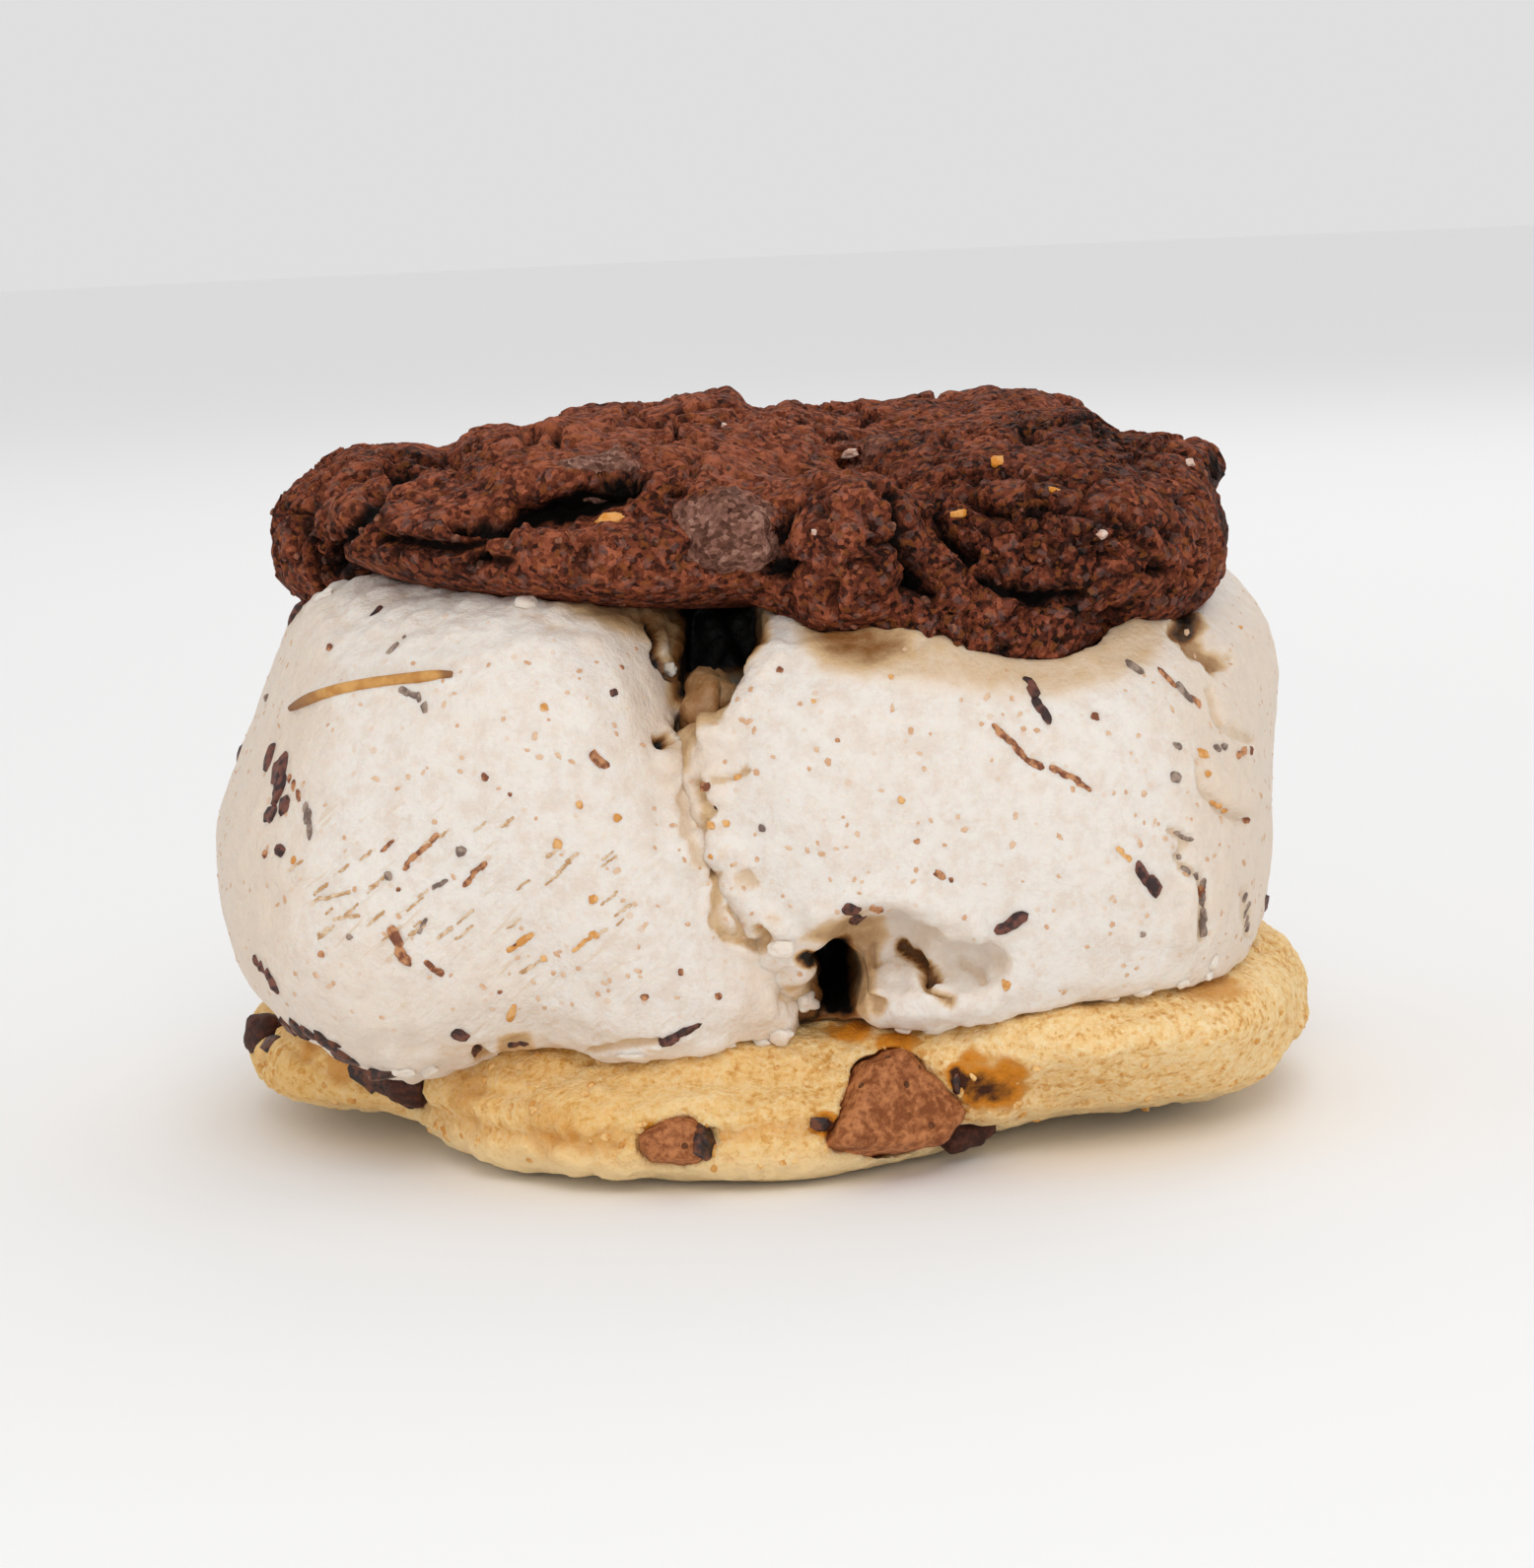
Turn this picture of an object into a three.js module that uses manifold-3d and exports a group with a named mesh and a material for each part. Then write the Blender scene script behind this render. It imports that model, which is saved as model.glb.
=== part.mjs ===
// An ice cream sandwich: two scoops of flecked ice cream side by side, pressed between a dark chocolate
// cookie on top and a golden chocolate-chunk cookie below.
//
// Millimetres, +Z up, and -Y towards the side where the two scoops part. The origin is the middle of the
// flat spot that the sandwich stands on. Each piece is one closed mesh, and neighbours keep a clearance.
import * as THREE from "three";
import { ConvexGeometry } from "three/addons/geometries/ConvexGeometry.js";
import { mergeVertices } from "three/addons/utils/BufferGeometryUtils.js";
import Module from "manifold-3d";

const wasm = await Module();
wasm.setup();

// ---- Driving dimensions ----
const BASE_RADIUS = 44;
const BASE_HEIGHT = 11.2;
const BASE_RISE = 3; // how much higher the bottom cookie's right edge lies
const TOP_RADIUS = 39.5;
const TOP_HEIGHT = 14;
const TOP_UNDERSIDE = 42.6; // height of the top cookie's flat side above the floor, at its middle
const TOP_TILT = THREE.MathUtils.degToRad(6); // the top cookie leans down to the right
const TOP_SHIFT = -1.3; // its middle lies this far to the right of the bottom cookie's
const TOP_FLAT = 30; // radius inside which its underside is flat
const RIM_DROOP = 4; // how far its rim may hang below that
const CLEARANCE = 0.35; // between neighbouring pieces
const CHUNK_PROUD = 1; // how far a chocolate chunk stands out of its cookie
const FLAKE_PROUD = 0.45; // how far a chocolate flake stands out of the ice cream

// Mesh fineness, as edge lengths.
const RIM_EDGE = 2.8;
const HIDDEN_EDGE = 7;
const SCOOP_EDGE = 4;
const HOLLOW_EDGE = 2.2;

const Z_AXIS = new THREE.Vector3(0, 0, 1);
const GOLDEN_ANGLE = Math.PI * (3 - Math.sqrt(5));
const { clamp, degToRad, lerp, smoothstep } = THREE.MathUtils;

// ---- Noise: the same whole-number hash gives the same relief on every run ----
const HASH_PRIMES = [374761393, 668265263, 69069, 974634777];
const STIR_PRIME = 1274126177;

function hash(...numbers) {
  const mixed = numbers.reduce((all, number, index) => all ^ Math.imul(number, HASH_PRIMES[index]), 0);
  const stirred = Math.imul(mixed ^ (mixed >>> 13), STIR_PRIME);
  return ((stirred ^ (stirred >>> 16)) >>> 0) / 2 ** 32;
}

// Smooth noise from -1 to 1 whose bumps are about one grain across.
function noise(point, grain, seed) {
  const scaled = point.toArray().map((value) => value / grain);
  const corner = scaled.map(Math.floor);
  const ease = scaled.map((value, axis) => smoothstep(value - corner[axis], 0, 1));
  let sum = 0;
  for (let octant = 0; octant < 8; octant++) {
    const step = [octant & 1, (octant >> 1) & 1, octant >> 2];
    const share = step.reduce((all, side, axis) => all * (side ? ease[axis] : 1 - ease[axis]), 1);
    sum += share * hash(corner[0] + step[0], corner[1] + step[1], corner[2] + step[2], seed);
  }
  return 2 * sum - 1;
}

// How far a point is from the border between cells about one cell across: 0 on the border, about 1 inside.
function cellBorder(point, cell, seed) {
  const home = point.clone().divideScalar(cell).floor();
  let [nearest, second] = [Infinity, Infinity];
  for (let neighbour = 0; neighbour < 27; neighbour++) {
    const ix = home.x + (neighbour % 3) - 1;
    const iy = home.y + (Math.floor(neighbour / 3) % 3) - 1;
    const iz = home.z + Math.floor(neighbour / 9) - 1;
    const shift = [0, 1, 2].map((axis) => hash(ix, iy, iz, seed + axis));
    const seat = new THREE.Vector3(ix + shift[0], iy + shift[1], iz + shift[2]).multiplyScalar(cell);
    const distance = seat.distanceTo(point);
    if (distance < nearest) [nearest, second] = [distance, nearest];
    else if (distance < second) second = distance;
  }
  return (second - nearest) / cell;
}

// ---- Lumps: soft rounded boxes whose union is a piece's rough shape ----
// A row is a lump's middle x, y, z, its half sizes, and its turn about Z in degrees. blunt says how square
// the lumps are from the side, and plan how square they are from above: 2 is an ellipse.
function lumpsOf(rows, { blunt, plan = 2.2, radius = 1, height = 1 }) {
  return rows.map(([x, y, z, halfX, halfY, halfZ, turn = 0]) => ({
    middle: new THREE.Vector3(x * radius, y * radius, z * height),
    half: new THREE.Vector3(halfX * radius, halfY * radius, halfZ * height),
    turn: degToRad(turn),
    blunt,
    plan,
  }));
}

function outsideness(point, { middle, half, turn, blunt, plan }) {
  const local = point.clone().sub(middle).applyAxisAngle(Z_AXIS, -turn).divide(half);
  const level = Math.abs(local.x) ** plan + Math.abs(local.y) ** plan;
  return level ** (blunt / plan) + Math.abs(local.z) ** blunt - 1;
}

const SEARCH_STEPS = 26;

// How far a ray from start runs before it leaves the lump for good: 0 where it misses the lump.
function exitDistance(start, direction, lump, farthest) {
  const at = (distance) => outsideness(direction.clone().multiplyScalar(distance).add(start), lump);
  let [low, high] = [0, farthest];
  for (let step = 0; step < SEARCH_STEPS; step++) {
    const [third, twoThirds] = [lerp(low, high, 1 / 3), lerp(low, high, 2 / 3)];
    if (at(third) < at(twoThirds)) high = twoThirds;
    else low = third;
  }
  let [inside, outside] = [(low + high) / 2, farthest];
  if (at(inside) > 0) return 0;
  for (let step = 0; step < SEARCH_STEPS; step++) {
    const half = (inside + outside) / 2;
    if (at(half) < 0) inside = half;
    else outside = half;
  }
  return inside;
}

// ---- A skin: rings of points from the lowest pole to the highest, pushed out to the union of the lumps ----
const PROFILE_SAMPLES = 600;
const SKIN_BLUNT = 2.7;
const ROW_SPACING = Math.sqrt(3) / 2; // of the edge length, so that triangles come out even

// Where the rings go on the profile, as shares of the half width and half height.
function ringPlaces(half, edgeAt) {
  const radius = (half.x + half.y) / 2;
  const places = [];
  let walked = 0;
  let last = { across: 0, up: -1 };
  for (let sample = 1; sample < PROFILE_SAMPLES; sample++) {
    const angle = Math.PI * (sample / PROFILE_SAMPLES - 0.5);
    const across = Math.cos(angle) ** (2 / SKIN_BLUNT);
    const up = Math.sign(angle) * Math.abs(Math.sin(angle)) ** (2 / SKIN_BLUNT);
    walked += Math.hypot((across - last.across) * radius, (up - last.up) * half.z);
    last = { across, up };
    const edge = edgeAt(last);
    if (walked < edge * ROW_SPACING) continue;
    walked = 0;
    places.push({ across, up, count: Math.max(6, Math.round((2 * Math.PI * across * radius) / edge)) });
  }
  return places;
}

// Each point is pushed out from a level disc round the middle, spread times as wide as the skin.
function skin({ middle, half, edgeAt, lumps, spread = 0 }) {
  const points = [];
  const faces = [];
  const farthest = 2 * half.length();
  const push = (x, y, z) => {
    const outer = new THREE.Vector3(x, y, z).multiply(half);
    const start = new THREE.Vector3(outer.x, outer.y, 0).multiplyScalar(spread);
    const direction = outer.sub(start).normalize();
    start.add(middle);
    const reach = Math.max(...lumps.map((lump) => exitDistance(start, direction, lump, farthest)));
    points.push(direction.multiplyScalar(reach).add(start));
    return points.length - 1;
  };
  const lowest = push(0, 0, -1);
  const rings = ringPlaces(half, edgeAt).map(({ across, up, count }, row) =>
    Array.from({ length: count }, (_, step) => {
      const angle = (2 * Math.PI * (step + (row % 2) / 2)) / count;
      return push(across * Math.cos(angle), across * Math.sin(angle), up);
    }),
  );
  const highest = push(0, 0, 1);
  rings[0].forEach((point, step, ring) => faces.push(lowest, ring[(step + 1) % ring.length], point));
  for (let row = 1; row < rings.length; row++) zip(rings[row - 1], rings[row], faces);
  rings.at(-1).forEach((point, step, ring) => faces.push(highest, point, ring[(step + 1) % ring.length]));
  return new THREE.BufferGeometry().setFromPoints(points).setIndex(faces);
}

// Joins two rings of unlike counts with triangles.
function zip(lower, upper, faces) {
  let [i, j] = [0, 0];
  while (i < lower.length || j < upper.length) {
    const [a, b] = [lower[i % lower.length], upper[j % upper.length]];
    const lowerIsBehind = i < lower.length && (i + 1) * upper.length <= (j + 1) * lower.length;
    if (j === upper.length || lowerIsBehind) faces.push(a, lower[++i % lower.length], b);
    else faces.push(a, upper[++j % upper.length], b);
  }
}

// Moves each point along its normal by depthAt(point, normal), then through settle.
function carve(geometry, depthAt, settle = (point) => point) {
  geometry.computeVertexNormals();
  const { position, normal } = geometry.attributes;
  const moved = Array.from({ length: position.count }, (_, index) => {
    const point = new THREE.Vector3().fromBufferAttribute(position, index);
    const outward = new THREE.Vector3().fromBufferAttribute(normal, index);
    return settle(point.clone().addScaledVector(outward, depthAt(point, outward)));
  });
  return new THREE.BufferGeometry().setFromPoints(moved).setIndex(geometry.index);
}

// Draws each point towards the middle of its neighbours, as soft food rounds off.
function softened(geometry, rounds) {
  const { position } = geometry.attributes;
  const { array: corners } = geometry.index;
  const neighbours = Array.from({ length: position.count }, () => []);
  corners.forEach((corner, index) => {
    const next = index % 3 === 2 ? index - 2 : index + 1;
    neighbours[corner].push(corners[next]);
  });
  let points = neighbours.map((_, index) => new THREE.Vector3().fromBufferAttribute(position, index));
  for (let round = 0; round < rounds; round++)
    points = points.map((point, index) => {
      const around = neighbours[index];
      const mean = new THREE.Vector3();
      around.forEach((neighbour) => mean.addScaledVector(points[neighbour], 1 / around.length));
      return mean.lerp(point, 0.5);
    });
  return new THREE.BufferGeometry().setFromPoints(points).setIndex(geometry.index);
}

// ---- Solids: manifold-3d joins and cuts ----
function bareMesh(geometry) {
  const bare = geometry.clone();
  ["normal", "uv"].forEach((name) => bare.deleteAttribute(name));
  return mergeVertices(bare, 1e-3);
}

function solid(geometry) {
  const { attributes, index } = bareMesh(geometry);
  return new wasm.Manifold(
    new wasm.Mesh({
      numProp: 3,
      vertProperties: attributes.position.array,
      triVerts: new Uint32Array(index.array),
    }),
  );
}

const joined = (solids) => solids.reduce((all, next) => all.add(next));

// The largest body of a solid: a cut can leave loose scraps, which are dropped.
function geometryOf(manifold) {
  const [largest] = manifold.decompose().sort((a, b) => b.volume() - a.volume());
  const { vertProperties, triVerts } = largest.getMesh();
  return new THREE.BufferGeometry()
    .setAttribute("position", new THREE.BufferAttribute(new Float32Array(vertProperties), 3))
    .setIndex(new THREE.BufferAttribute(new Uint32Array(triVerts), 1));
}

// A piece with the clearance added all round, for cutting its neighbours.
const grown = (geometry) => solid(carve(bareMesh(geometry), () => CLEARANCE));

// ---- Nuggets: rough convex bits of chocolate or ice cream, seated on a surface ----
// size is a nugget's width, height and depth; its depth runs along +Z, out of the surface.
function nugget(size, seed, corners = 14, squareness = 0.6) {
  const points = Array.from({ length: corners }, (_, index) => {
    const z = 1 - (2 * index + 1) / corners;
    const across = Math.sqrt(1 - z * z);
    const angle = index * GOLDEN_ANGLE + seed;
    const round = [across * Math.cos(angle), across * Math.sin(angle), z];
    const square = round.map((value) => Math.sign(value) * Math.abs(value) ** squareness);
    const stretch = lerp(0.82, 1.1, hash(index, 0, 0, seed));
    return new THREE.Vector3(...square).multiplyScalar(stretch).multiply(size).multiplyScalar(0.5);
  });
  return bareMesh(new ConvexGeometry(points));
}

// A broken slab with a convex outline. A level gives a share of the depth, and how wide the slab is there.
const SHARD_LEVELS = [
  [-0.5, 0.8],
  [-0.1, 1],
  [0.36, 0.98],
  [0.5, 0.86],
];
function shard(outline, depth) {
  const points = SHARD_LEVELS.flatMap(([level, width]) =>
    outline.map(([x, y]) => new THREE.Vector3(x * width, y * width, level * depth)),
  );
  return bareMesh(new ConvexGeometry(points));
}

// Where a line towards a direction first meets a geometry.
function touch(geometry, from, direction) {
  geometry.computeVertexNormals();
  const ray = new THREE.Raycaster(from, direction);
  const [hit] = ray.intersectObject(new THREE.Mesh(geometry));
  if (!hit) throw new Error("nothing to seat a nugget on");
  return { point: hit.point, outward: hit.face.normal.clone() };
}

// Where a level line towards the Z axis, or one straight back from the front, meets a geometry.
const REACH = 120;
function touchRound(geometry, azimuth, height) {
  const inward = new THREE.Vector3(-Math.cos(azimuth), -Math.sin(azimuth), 0);
  const from = inward.clone().multiplyScalar(-REACH).setZ(height);
  return touch(geometry, from, inward);
}

const BACKWARD = new THREE.Vector3(0, 1, 0);
const DOWNWARD = new THREE.Vector3(0, 0, -1);
const touchFront = (geometry, x, z) => touch(geometry, new THREE.Vector3(x, -REACH, z), BACKWARD);
const touchAbove = (geometry, x, y) => touch(geometry, new THREE.Vector3(x, y, REACH), DOWNWARD);

// Turns a nugget in its own plane, faces it outward, and sinks it until it stands proud by the given amount.
function seated(geometry, { point, outward }, turn, proud, depth) {
  const upright = Math.abs(outward.z) > 0.9 ? BACKWARD : Z_AXIS;
  const side = new THREE.Vector3().crossVectors(upright, outward).normalize();
  const up = new THREE.Vector3().crossVectors(outward, side);
  const place = new THREE.Matrix4().makeBasis(side, up, outward);
  place.setPosition(point.clone().addScaledVector(outward, proud - depth / 2));
  return geometry.rotateZ(turn).applyMatrix4(place);
}

// ---- The bottom cookie: flat side up, domed side down on its flat spot ----
const COOKIE_BLUNT = 2.7;
const COOKIE_SPREAD = 0.78;
const BASE_LUMPS = lumpsOf(
  [
    [0.03, 0, 0.62, 0.9, 0.9, 0.7], // the whole disc
    [-0.64, -0.08, 0.54, 0.38, 0.48, 0.42], // left lobe, clear of the floor
    [-0.1, -0.36, 0.4, 0.56, 0.62, 0.56], // front lobe
    [0.54, -0.16, 0.62, 0.46, 0.62, 0.56], // right lobe
    [0.52, -0.28, 0.86, 0.44, 0.64, 0.5], // its raised front rim
    [0.28, 0.44, 0.58, 0.5, 0.46, 0.58, 20], // back right lobe
    [-0.32, 0.44, 0.56, 0.48, 0.44, 0.56, -24], // back left lobe
  ],
  { blunt: COOKIE_BLUNT, radius: BASE_RADIUS, height: BASE_HEIGHT },
);

// A cookie's relief: soft bumps, and cracks along the borders of cells, as wide as a share of a cell.
const BASE_RELIEF = { bump: 0.45, grain: 6, crackDepth: 0.7, cell: 13, crackShare: 0.16, seed: 11 };
const TOP_RELIEF = { bump: 0.6, grain: 5.5, crackDepth: 0.6, cell: 12, crackShare: 0.2, seed: 31 };

function cookieRelief(point, { bump, grain, crackDepth, cell, crackShare, seed }) {
  const cracked = smoothstep(crackShare - cellBorder(point, cell, seed + 1), 0, crackShare);
  return bump * noise(point, grain, seed) - crackDepth * cracked;
}

// 1 on the part of a cookie's skin that faces the ice cream or the floor, and 0 at its rim.
const towardsPole = (across) => smoothstep(1 - across, 0.08, 0.5);

function bottomCookie() {
  const middle = new THREE.Vector3(0, 0, BASE_HEIGHT / 2);
  const half = new THREE.Vector3(BASE_RADIUS, BASE_RADIUS, BASE_HEIGHT / 2);
  const edgeAt = ({ across }) => lerp(RIM_EDGE, HIDDEN_EDGE, towardsPole(across));
  const relief = (point) => {
    const outer = smoothstep(Math.hypot(point.x, point.y) / BASE_RADIUS, 0.5, 0.85);
    return outer * cookieRelief(point, BASE_RELIEF);
  };
  const rough = skin({ middle, half, edgeAt, lumps: BASE_LUMPS, spread: COOKIE_SPREAD });
  const highest = (x) => BASE_HEIGHT + BASE_RISE * smoothstep(x, 6, 36);
  return carve(rough, relief, (point) => point.setZ(clamp(point.z, 0, highest(point.x))));
}

// ---- The top cookie: flat side down, worked out level with its middle over the origin ----
const TOP_LUMPS = lumpsOf(
  [
    [0.04, 0.03, 0.38, 0.84, 0.92, 0.4], // the whole disc
    [-0.74, -0.05, 0.16, 0.262, 0.4, 0.46], // left lobe, hanging below the flat side
    [-0.3, -0.34, 0.3, 0.53, 0.58, 0.33, -8], // front left slab
    [-0.22, -0.32, 0.46, 0.42, 0.52, 0.42, -8], // its upper ledge
    [-0.04, 0.04, 0.6, 0.4, 0.5, 0.44], // crown
    [0.19, -0.78, 0.38, 0.14, 0.18, 0.42], // crumbs between the slab and the ball
    [0.58, -0.28, 0.46, 0.375, 0.6, 0.55, 6], // right ball
    [0.72, -0.2, 0.66, 0.235, 0.46, 0.4], // its right shoulder
    [0.42, -0.72, 0.12, 0.31, 0.2, 0.38], // its front, sagging below the flat side
    [0.42, 0.42, 0.62, 0.4, 0.38, 0.46, 30], // back right, the highest edge
    [-0.34, 0.44, 0.26, 0.46, 0.42, 0.34, -35], // back left
    [0.05, 0.72, 0.36, 0.34, 0.25, 0.36], // back
  ],
  { blunt: COOKIE_BLUNT, radius: TOP_RADIUS, height: TOP_HEIGHT },
);

// Long cracks on the top cookie, each with its width, its depth, and a line of points as shares of the
// cookie's radius and height.
const TOP_CRACKS = [
  [2.6, 2.2, [-0.7, -0.6, 0.3], [-0.5, -0.82, 0.42], [-0.28, -0.86, 0.6], [-0.14, -0.84, 0.7]],
  [2.4, 1.6, [0.08, -0.86, 0.76], [0.04, -0.92, 0.4], [0.06, -0.9, 0.1]],
  [2.4, 1.8, [0.4, -0.86, 0.4], [0.52, -0.9, 0.24], [0.72, -0.8, 0.2], [0.9, -0.6, 0.36]],
  [2.2, 1.4, [0.4, -0.74, 0.84], [0.62, -0.72, 0.84], [0.85, -0.5, 0.76]],
  [2.4, 1.6, [-0.6, 0.1, 0.7], [-0.2, 0.25, 1], [0.2, 0.1, 1.02], [0.5, 0.25, 0.95]],
  [2.4, 1.6, [0, 0.25, 1.02], [-0.1, 0.6, 0.8], [-0.3, 0.85, 0.5]],
].map(([width, depth, ...line]) => ({
  width,
  depth,
  line: line.map(([x, y, z]) => new THREE.Vector3(x * TOP_RADIUS, y * TOP_RADIUS, z * TOP_HEIGHT)),
}));

function crackDepth(point) {
  const nearest = new THREE.Vector3();
  const depths = TOP_CRACKS.map(({ width, depth, line }) => {
    const distances = line.slice(1).map((end, index) => {
      new THREE.Line3(line[index], end).closestPointToPoint(point, true, nearest);
      return nearest.distanceTo(point);
    });
    return depth * (1 - smoothstep(Math.min(...distances), 0, width));
  });
  return Math.max(...depths);
}

function topCookie() {
  const middle = new THREE.Vector3(0, 0, TOP_HEIGHT * 0.42);
  const half = new THREE.Vector3(TOP_RADIUS, TOP_RADIUS, TOP_HEIGHT / 2);
  const edgeAt = ({ across, up }) => lerp(RIM_EDGE, HIDDEN_EDGE, up < 0 ? towardsPole(across) : 0);
  const relief = (point, outward) => {
    const shown = smoothstep(outward.z, -0.9, -0.4);
    return shown * (cookieRelief(point, TOP_RELIEF) - crackDepth(point));
  };
  const rough = skin({ middle, half, edgeAt, lumps: TOP_LUMPS, spread: COOKIE_SPREAD });
  const flatInside = (point) => {
    const lowest = Math.hypot(point.x, point.y) > TOP_FLAT ? -RIM_DROOP : 0;
    return point.setZ(Math.max(point.z, lowest));
  };
  return carve(rough, relief, flatInside).rotateY(TOP_TILT).translate(TOP_SHIFT, 0, TOP_UNDERSIDE);
}

// ---- The scoops ----
const SCOOP_ROUNDING = { blunt: 2.35, plan: 2.8 };
const PRESSED_ROUNDING = { blunt: 3.2, plan: 3.4 };
const SCOOP_SPREAD = 0.4;
const SCOOP_SOFTENING = 3;
const SCOOP_SWELL = 0.5; // makes up for what the softening takes off
const SCOOP_WAVE = { height: 0.35, grain: 9 };
const SEAM_WAVE = { height: 0.6, grain: 4.5, middle: -1, near: 2, far: 9 };
const LEFT_LUMPS = [
  ...lumpsOf(
    [
      [-21, 0, 29.5, 19.8, 41, 19.5], // the whole scoop
      [-24.6, -3, 22.5, 21.2, 38, 13], // belly
      [-30.2, -23, 19.8, 12.4, 18.4, 11], // its front left
      [-28.4, -27.4, 12.6, 5.6, 13, 6.4], // drooping over the bottom cookie's edge
      [-17, -20, 16.6, 17, 20.5, 7.4], // spread over the bottom cookie
    ],
    SCOOP_ROUNDING,
  ),
  ...lumpsOf(
    [
      [-17.5, -24, 31, 10.8, 17.4, 14.5], // pressed against the other scoop, high,
      [-12.4, -24, 24, 8.6, 17.8, 9], // half way down,
      [-6.8, -23.8, 14.6, 10, 18.6, 9.6], // and at its foot, which runs under the other scoop
      [-1.6, -35, 12.8, 3.8, 6.8, 3.8], // the foot's torn corner
      [-5, 6, 36, 8, 15, 9], // in the middle, behind the void
      [-11, 24, 26, 12, 15, 15], // at the back
    ],
    PRESSED_ROUNDING,
  ),
];
const RIGHT_LUMPS = [
  ...lumpsOf(
    [
      [19.4, 0, 28, 21.2, 41, 18], // the whole scoop
      [31, 3, 34.2, 12.2, 26, 8.6], // roll at the right shoulder
      [22, -2, 20.5, 18.6, 39, 12], // belly
    ],
    SCOOP_ROUNDING,
  ),
  ...lumpsOf(
    [
      [19.5, -4, 14.6, 20, 35, 6.4], // spread over the bottom cookie
      [13, -29.5, 13.4, 7.8, 12.4, 4], // pushed out under the hollow
      [6, -25, 27.8, 15.5, 17, 16.6], // pressed against the other scoop
      [9, 25, 27, 13, 15, 15], // at the back
    ],
    PRESSED_ROUNDING,
  ),
];
// The void under the top cookie where the scoops part: its lowest point, x and z of its outline, where it
// starts in front, how far in it goes, and how steeply it falls towards its end.
const VOID_FLOOR = 34.6;
const VOID_OUTLINE = [
  [-6, 48],
  [0.8, 48],
  [0.2, 44],
  [-2.2, 39.2],
  [-7, VOID_FLOOR],
  [-7.9, 36.6],
  [-6.4, 39.6],
];
const VOID_FRONT = -52;
const VOID_DEPTH = 37;
const VOID_FALL = degToRad(9);
const CAVE_LUMPS = lumpsOf([[4, -36, 15.2, 2.5, 13, 3.3]], { blunt: 2 });
const HOLLOW_LUMPS = lumpsOf(
  [
    [8.2, -43.5, 17.8, 5.2, 8.4, 4],
    [14, -43.5, 16.6, 4.4, 7.2, 2.6],
  ],
  { blunt: 2 },
);

// Crumbs of ice cream torn up along the seam: x, z and width.
const SEAM_CRUMBS = [
  [-6.4, 36.6, 4.6],
  [-7.2, 32.6, 5.4],
  [-5.6, 29, 5.6],
  [-6.2, 25.6, 5],
  [-3.4, 23.6, 5.4],
  [-1.6, 20.6, 5],
  [0.9, 18.6, 4],
  [1.4, 14.2, 3.6],
];

function scoopSkin(lumps) {
  const [{ middle, half }] = lumps;
  const edgeAt = ({ up }) => lerp(SCOOP_EDGE, HIDDEN_EDGE, smoothstep(Math.abs(up), 0.8, 0.95));
  return skin({ middle, half, edgeAt, lumps, spread: SCOOP_SPREAD });
}

function scoop(lumps, seed) {
  const relief = (point) => {
    const seamward = smoothstep(-Math.abs(point.x - SEAM_WAVE.middle), -SEAM_WAVE.far, -SEAM_WAVE.near);
    const wave = SCOOP_WAVE.height * noise(point, SCOOP_WAVE.grain, seed);
    return SCOOP_SWELL + wave + SEAM_WAVE.height * seamward * noise(point, SEAM_WAVE.grain, seed + 1);
  };
  return carve(softened(scoopSkin(lumps), SCOOP_SOFTENING), relief);
}

function voidCut() {
  const outline = new THREE.Shape(VOID_OUTLINE.map(([x, z]) => new THREE.Vector2(x, z)));
  const prism = new THREE.ExtrudeGeometry(outline, { depth: VOID_DEPTH, bevelEnabled: false });
  prism.translate(0, -VOID_FLOOR, -VOID_DEPTH).rotateX(Math.PI / 2 - VOID_FALL);
  return solid(prism.translate(0, VOID_FRONT, VOID_FLOOR));
}

function hollows(lumps) {
  return joined(lumps.map((lump) => solid(skin({ ...lump, edgeAt: () => HOLLOW_EDGE, lumps: [lump] }))));
}

// ---- Chocolate ----
// Chunks in the cookies. A row is the x and the height or y where the chunk lies, or its azimuth and height,
// then its width, height, depth and turn in degrees, and for a shard the outline of its face.
const BIG_CHUNK_OUTLINE = [
  [-5.9, -2.2],
  [-2.5, -3.1],
  [0.7, -3.6],
  [3.4, -3.3],
  [5.6, -1.7],
  [1, 3.9],
  [-1.7, 3.2],
];
const BASE_CHUNKS_FRONT = [
  ["milk", 8.9, 6.2, 11.5, 7.8, 7, 0, BIG_CHUNK_OUTLINE],
  ["milk", -8, 4.4, 5.8, 3.4, 5, 4],
  ["dark", 14.2, 2, 5.4, 1.5, 3, 16],
];
const BASE_CHUNKS_ROUND = [
  ["dark", 194, 7.8, 4.8, 3.6, 4, 8],
  ["dark", 221, 7.4, 5.8, 3.8, 4, -30],
  ["milk", 12, 6.6, 9, 5.5, 6, 20],
  ["milk", 52, 5.4, 6.4, 4.4, 5, -30],
  ["dark", 84, 7.4, 7.5, 4, 5, 8],
  ["milk", 118, 5.6, 10.5, 6.8, 7, -14],
  ["milk", 155, 4.8, 5.4, 4, 5, 30],
];
const TOP_CHUNKS_FRONT = [["dark", -1.9, 50.2, 9, 6.8, 6, -8]];
const TOP_CHUNKS_ABOVE = [
  ["dark", -12, -28.5, 8, 3.6, 4, 14],
  ["dark", -8, 21, 7, 5, 4, 50],
  ["dark", 9.4, -12, 5.6, 4.2, 4, -6],
  ["dark", 20, 27, 6, 4.4, 4, 70],
];

function chunk(place, [kind, , , width, height, depth, turn, outline], seed) {
  const shape = outline ? shard(outline, depth) : nugget(new THREE.Vector3(width, height, depth), seed);
  return { kind, geometry: seated(shape, place, degToRad(turn), CHUNK_PROUD, depth) };
}

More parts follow.
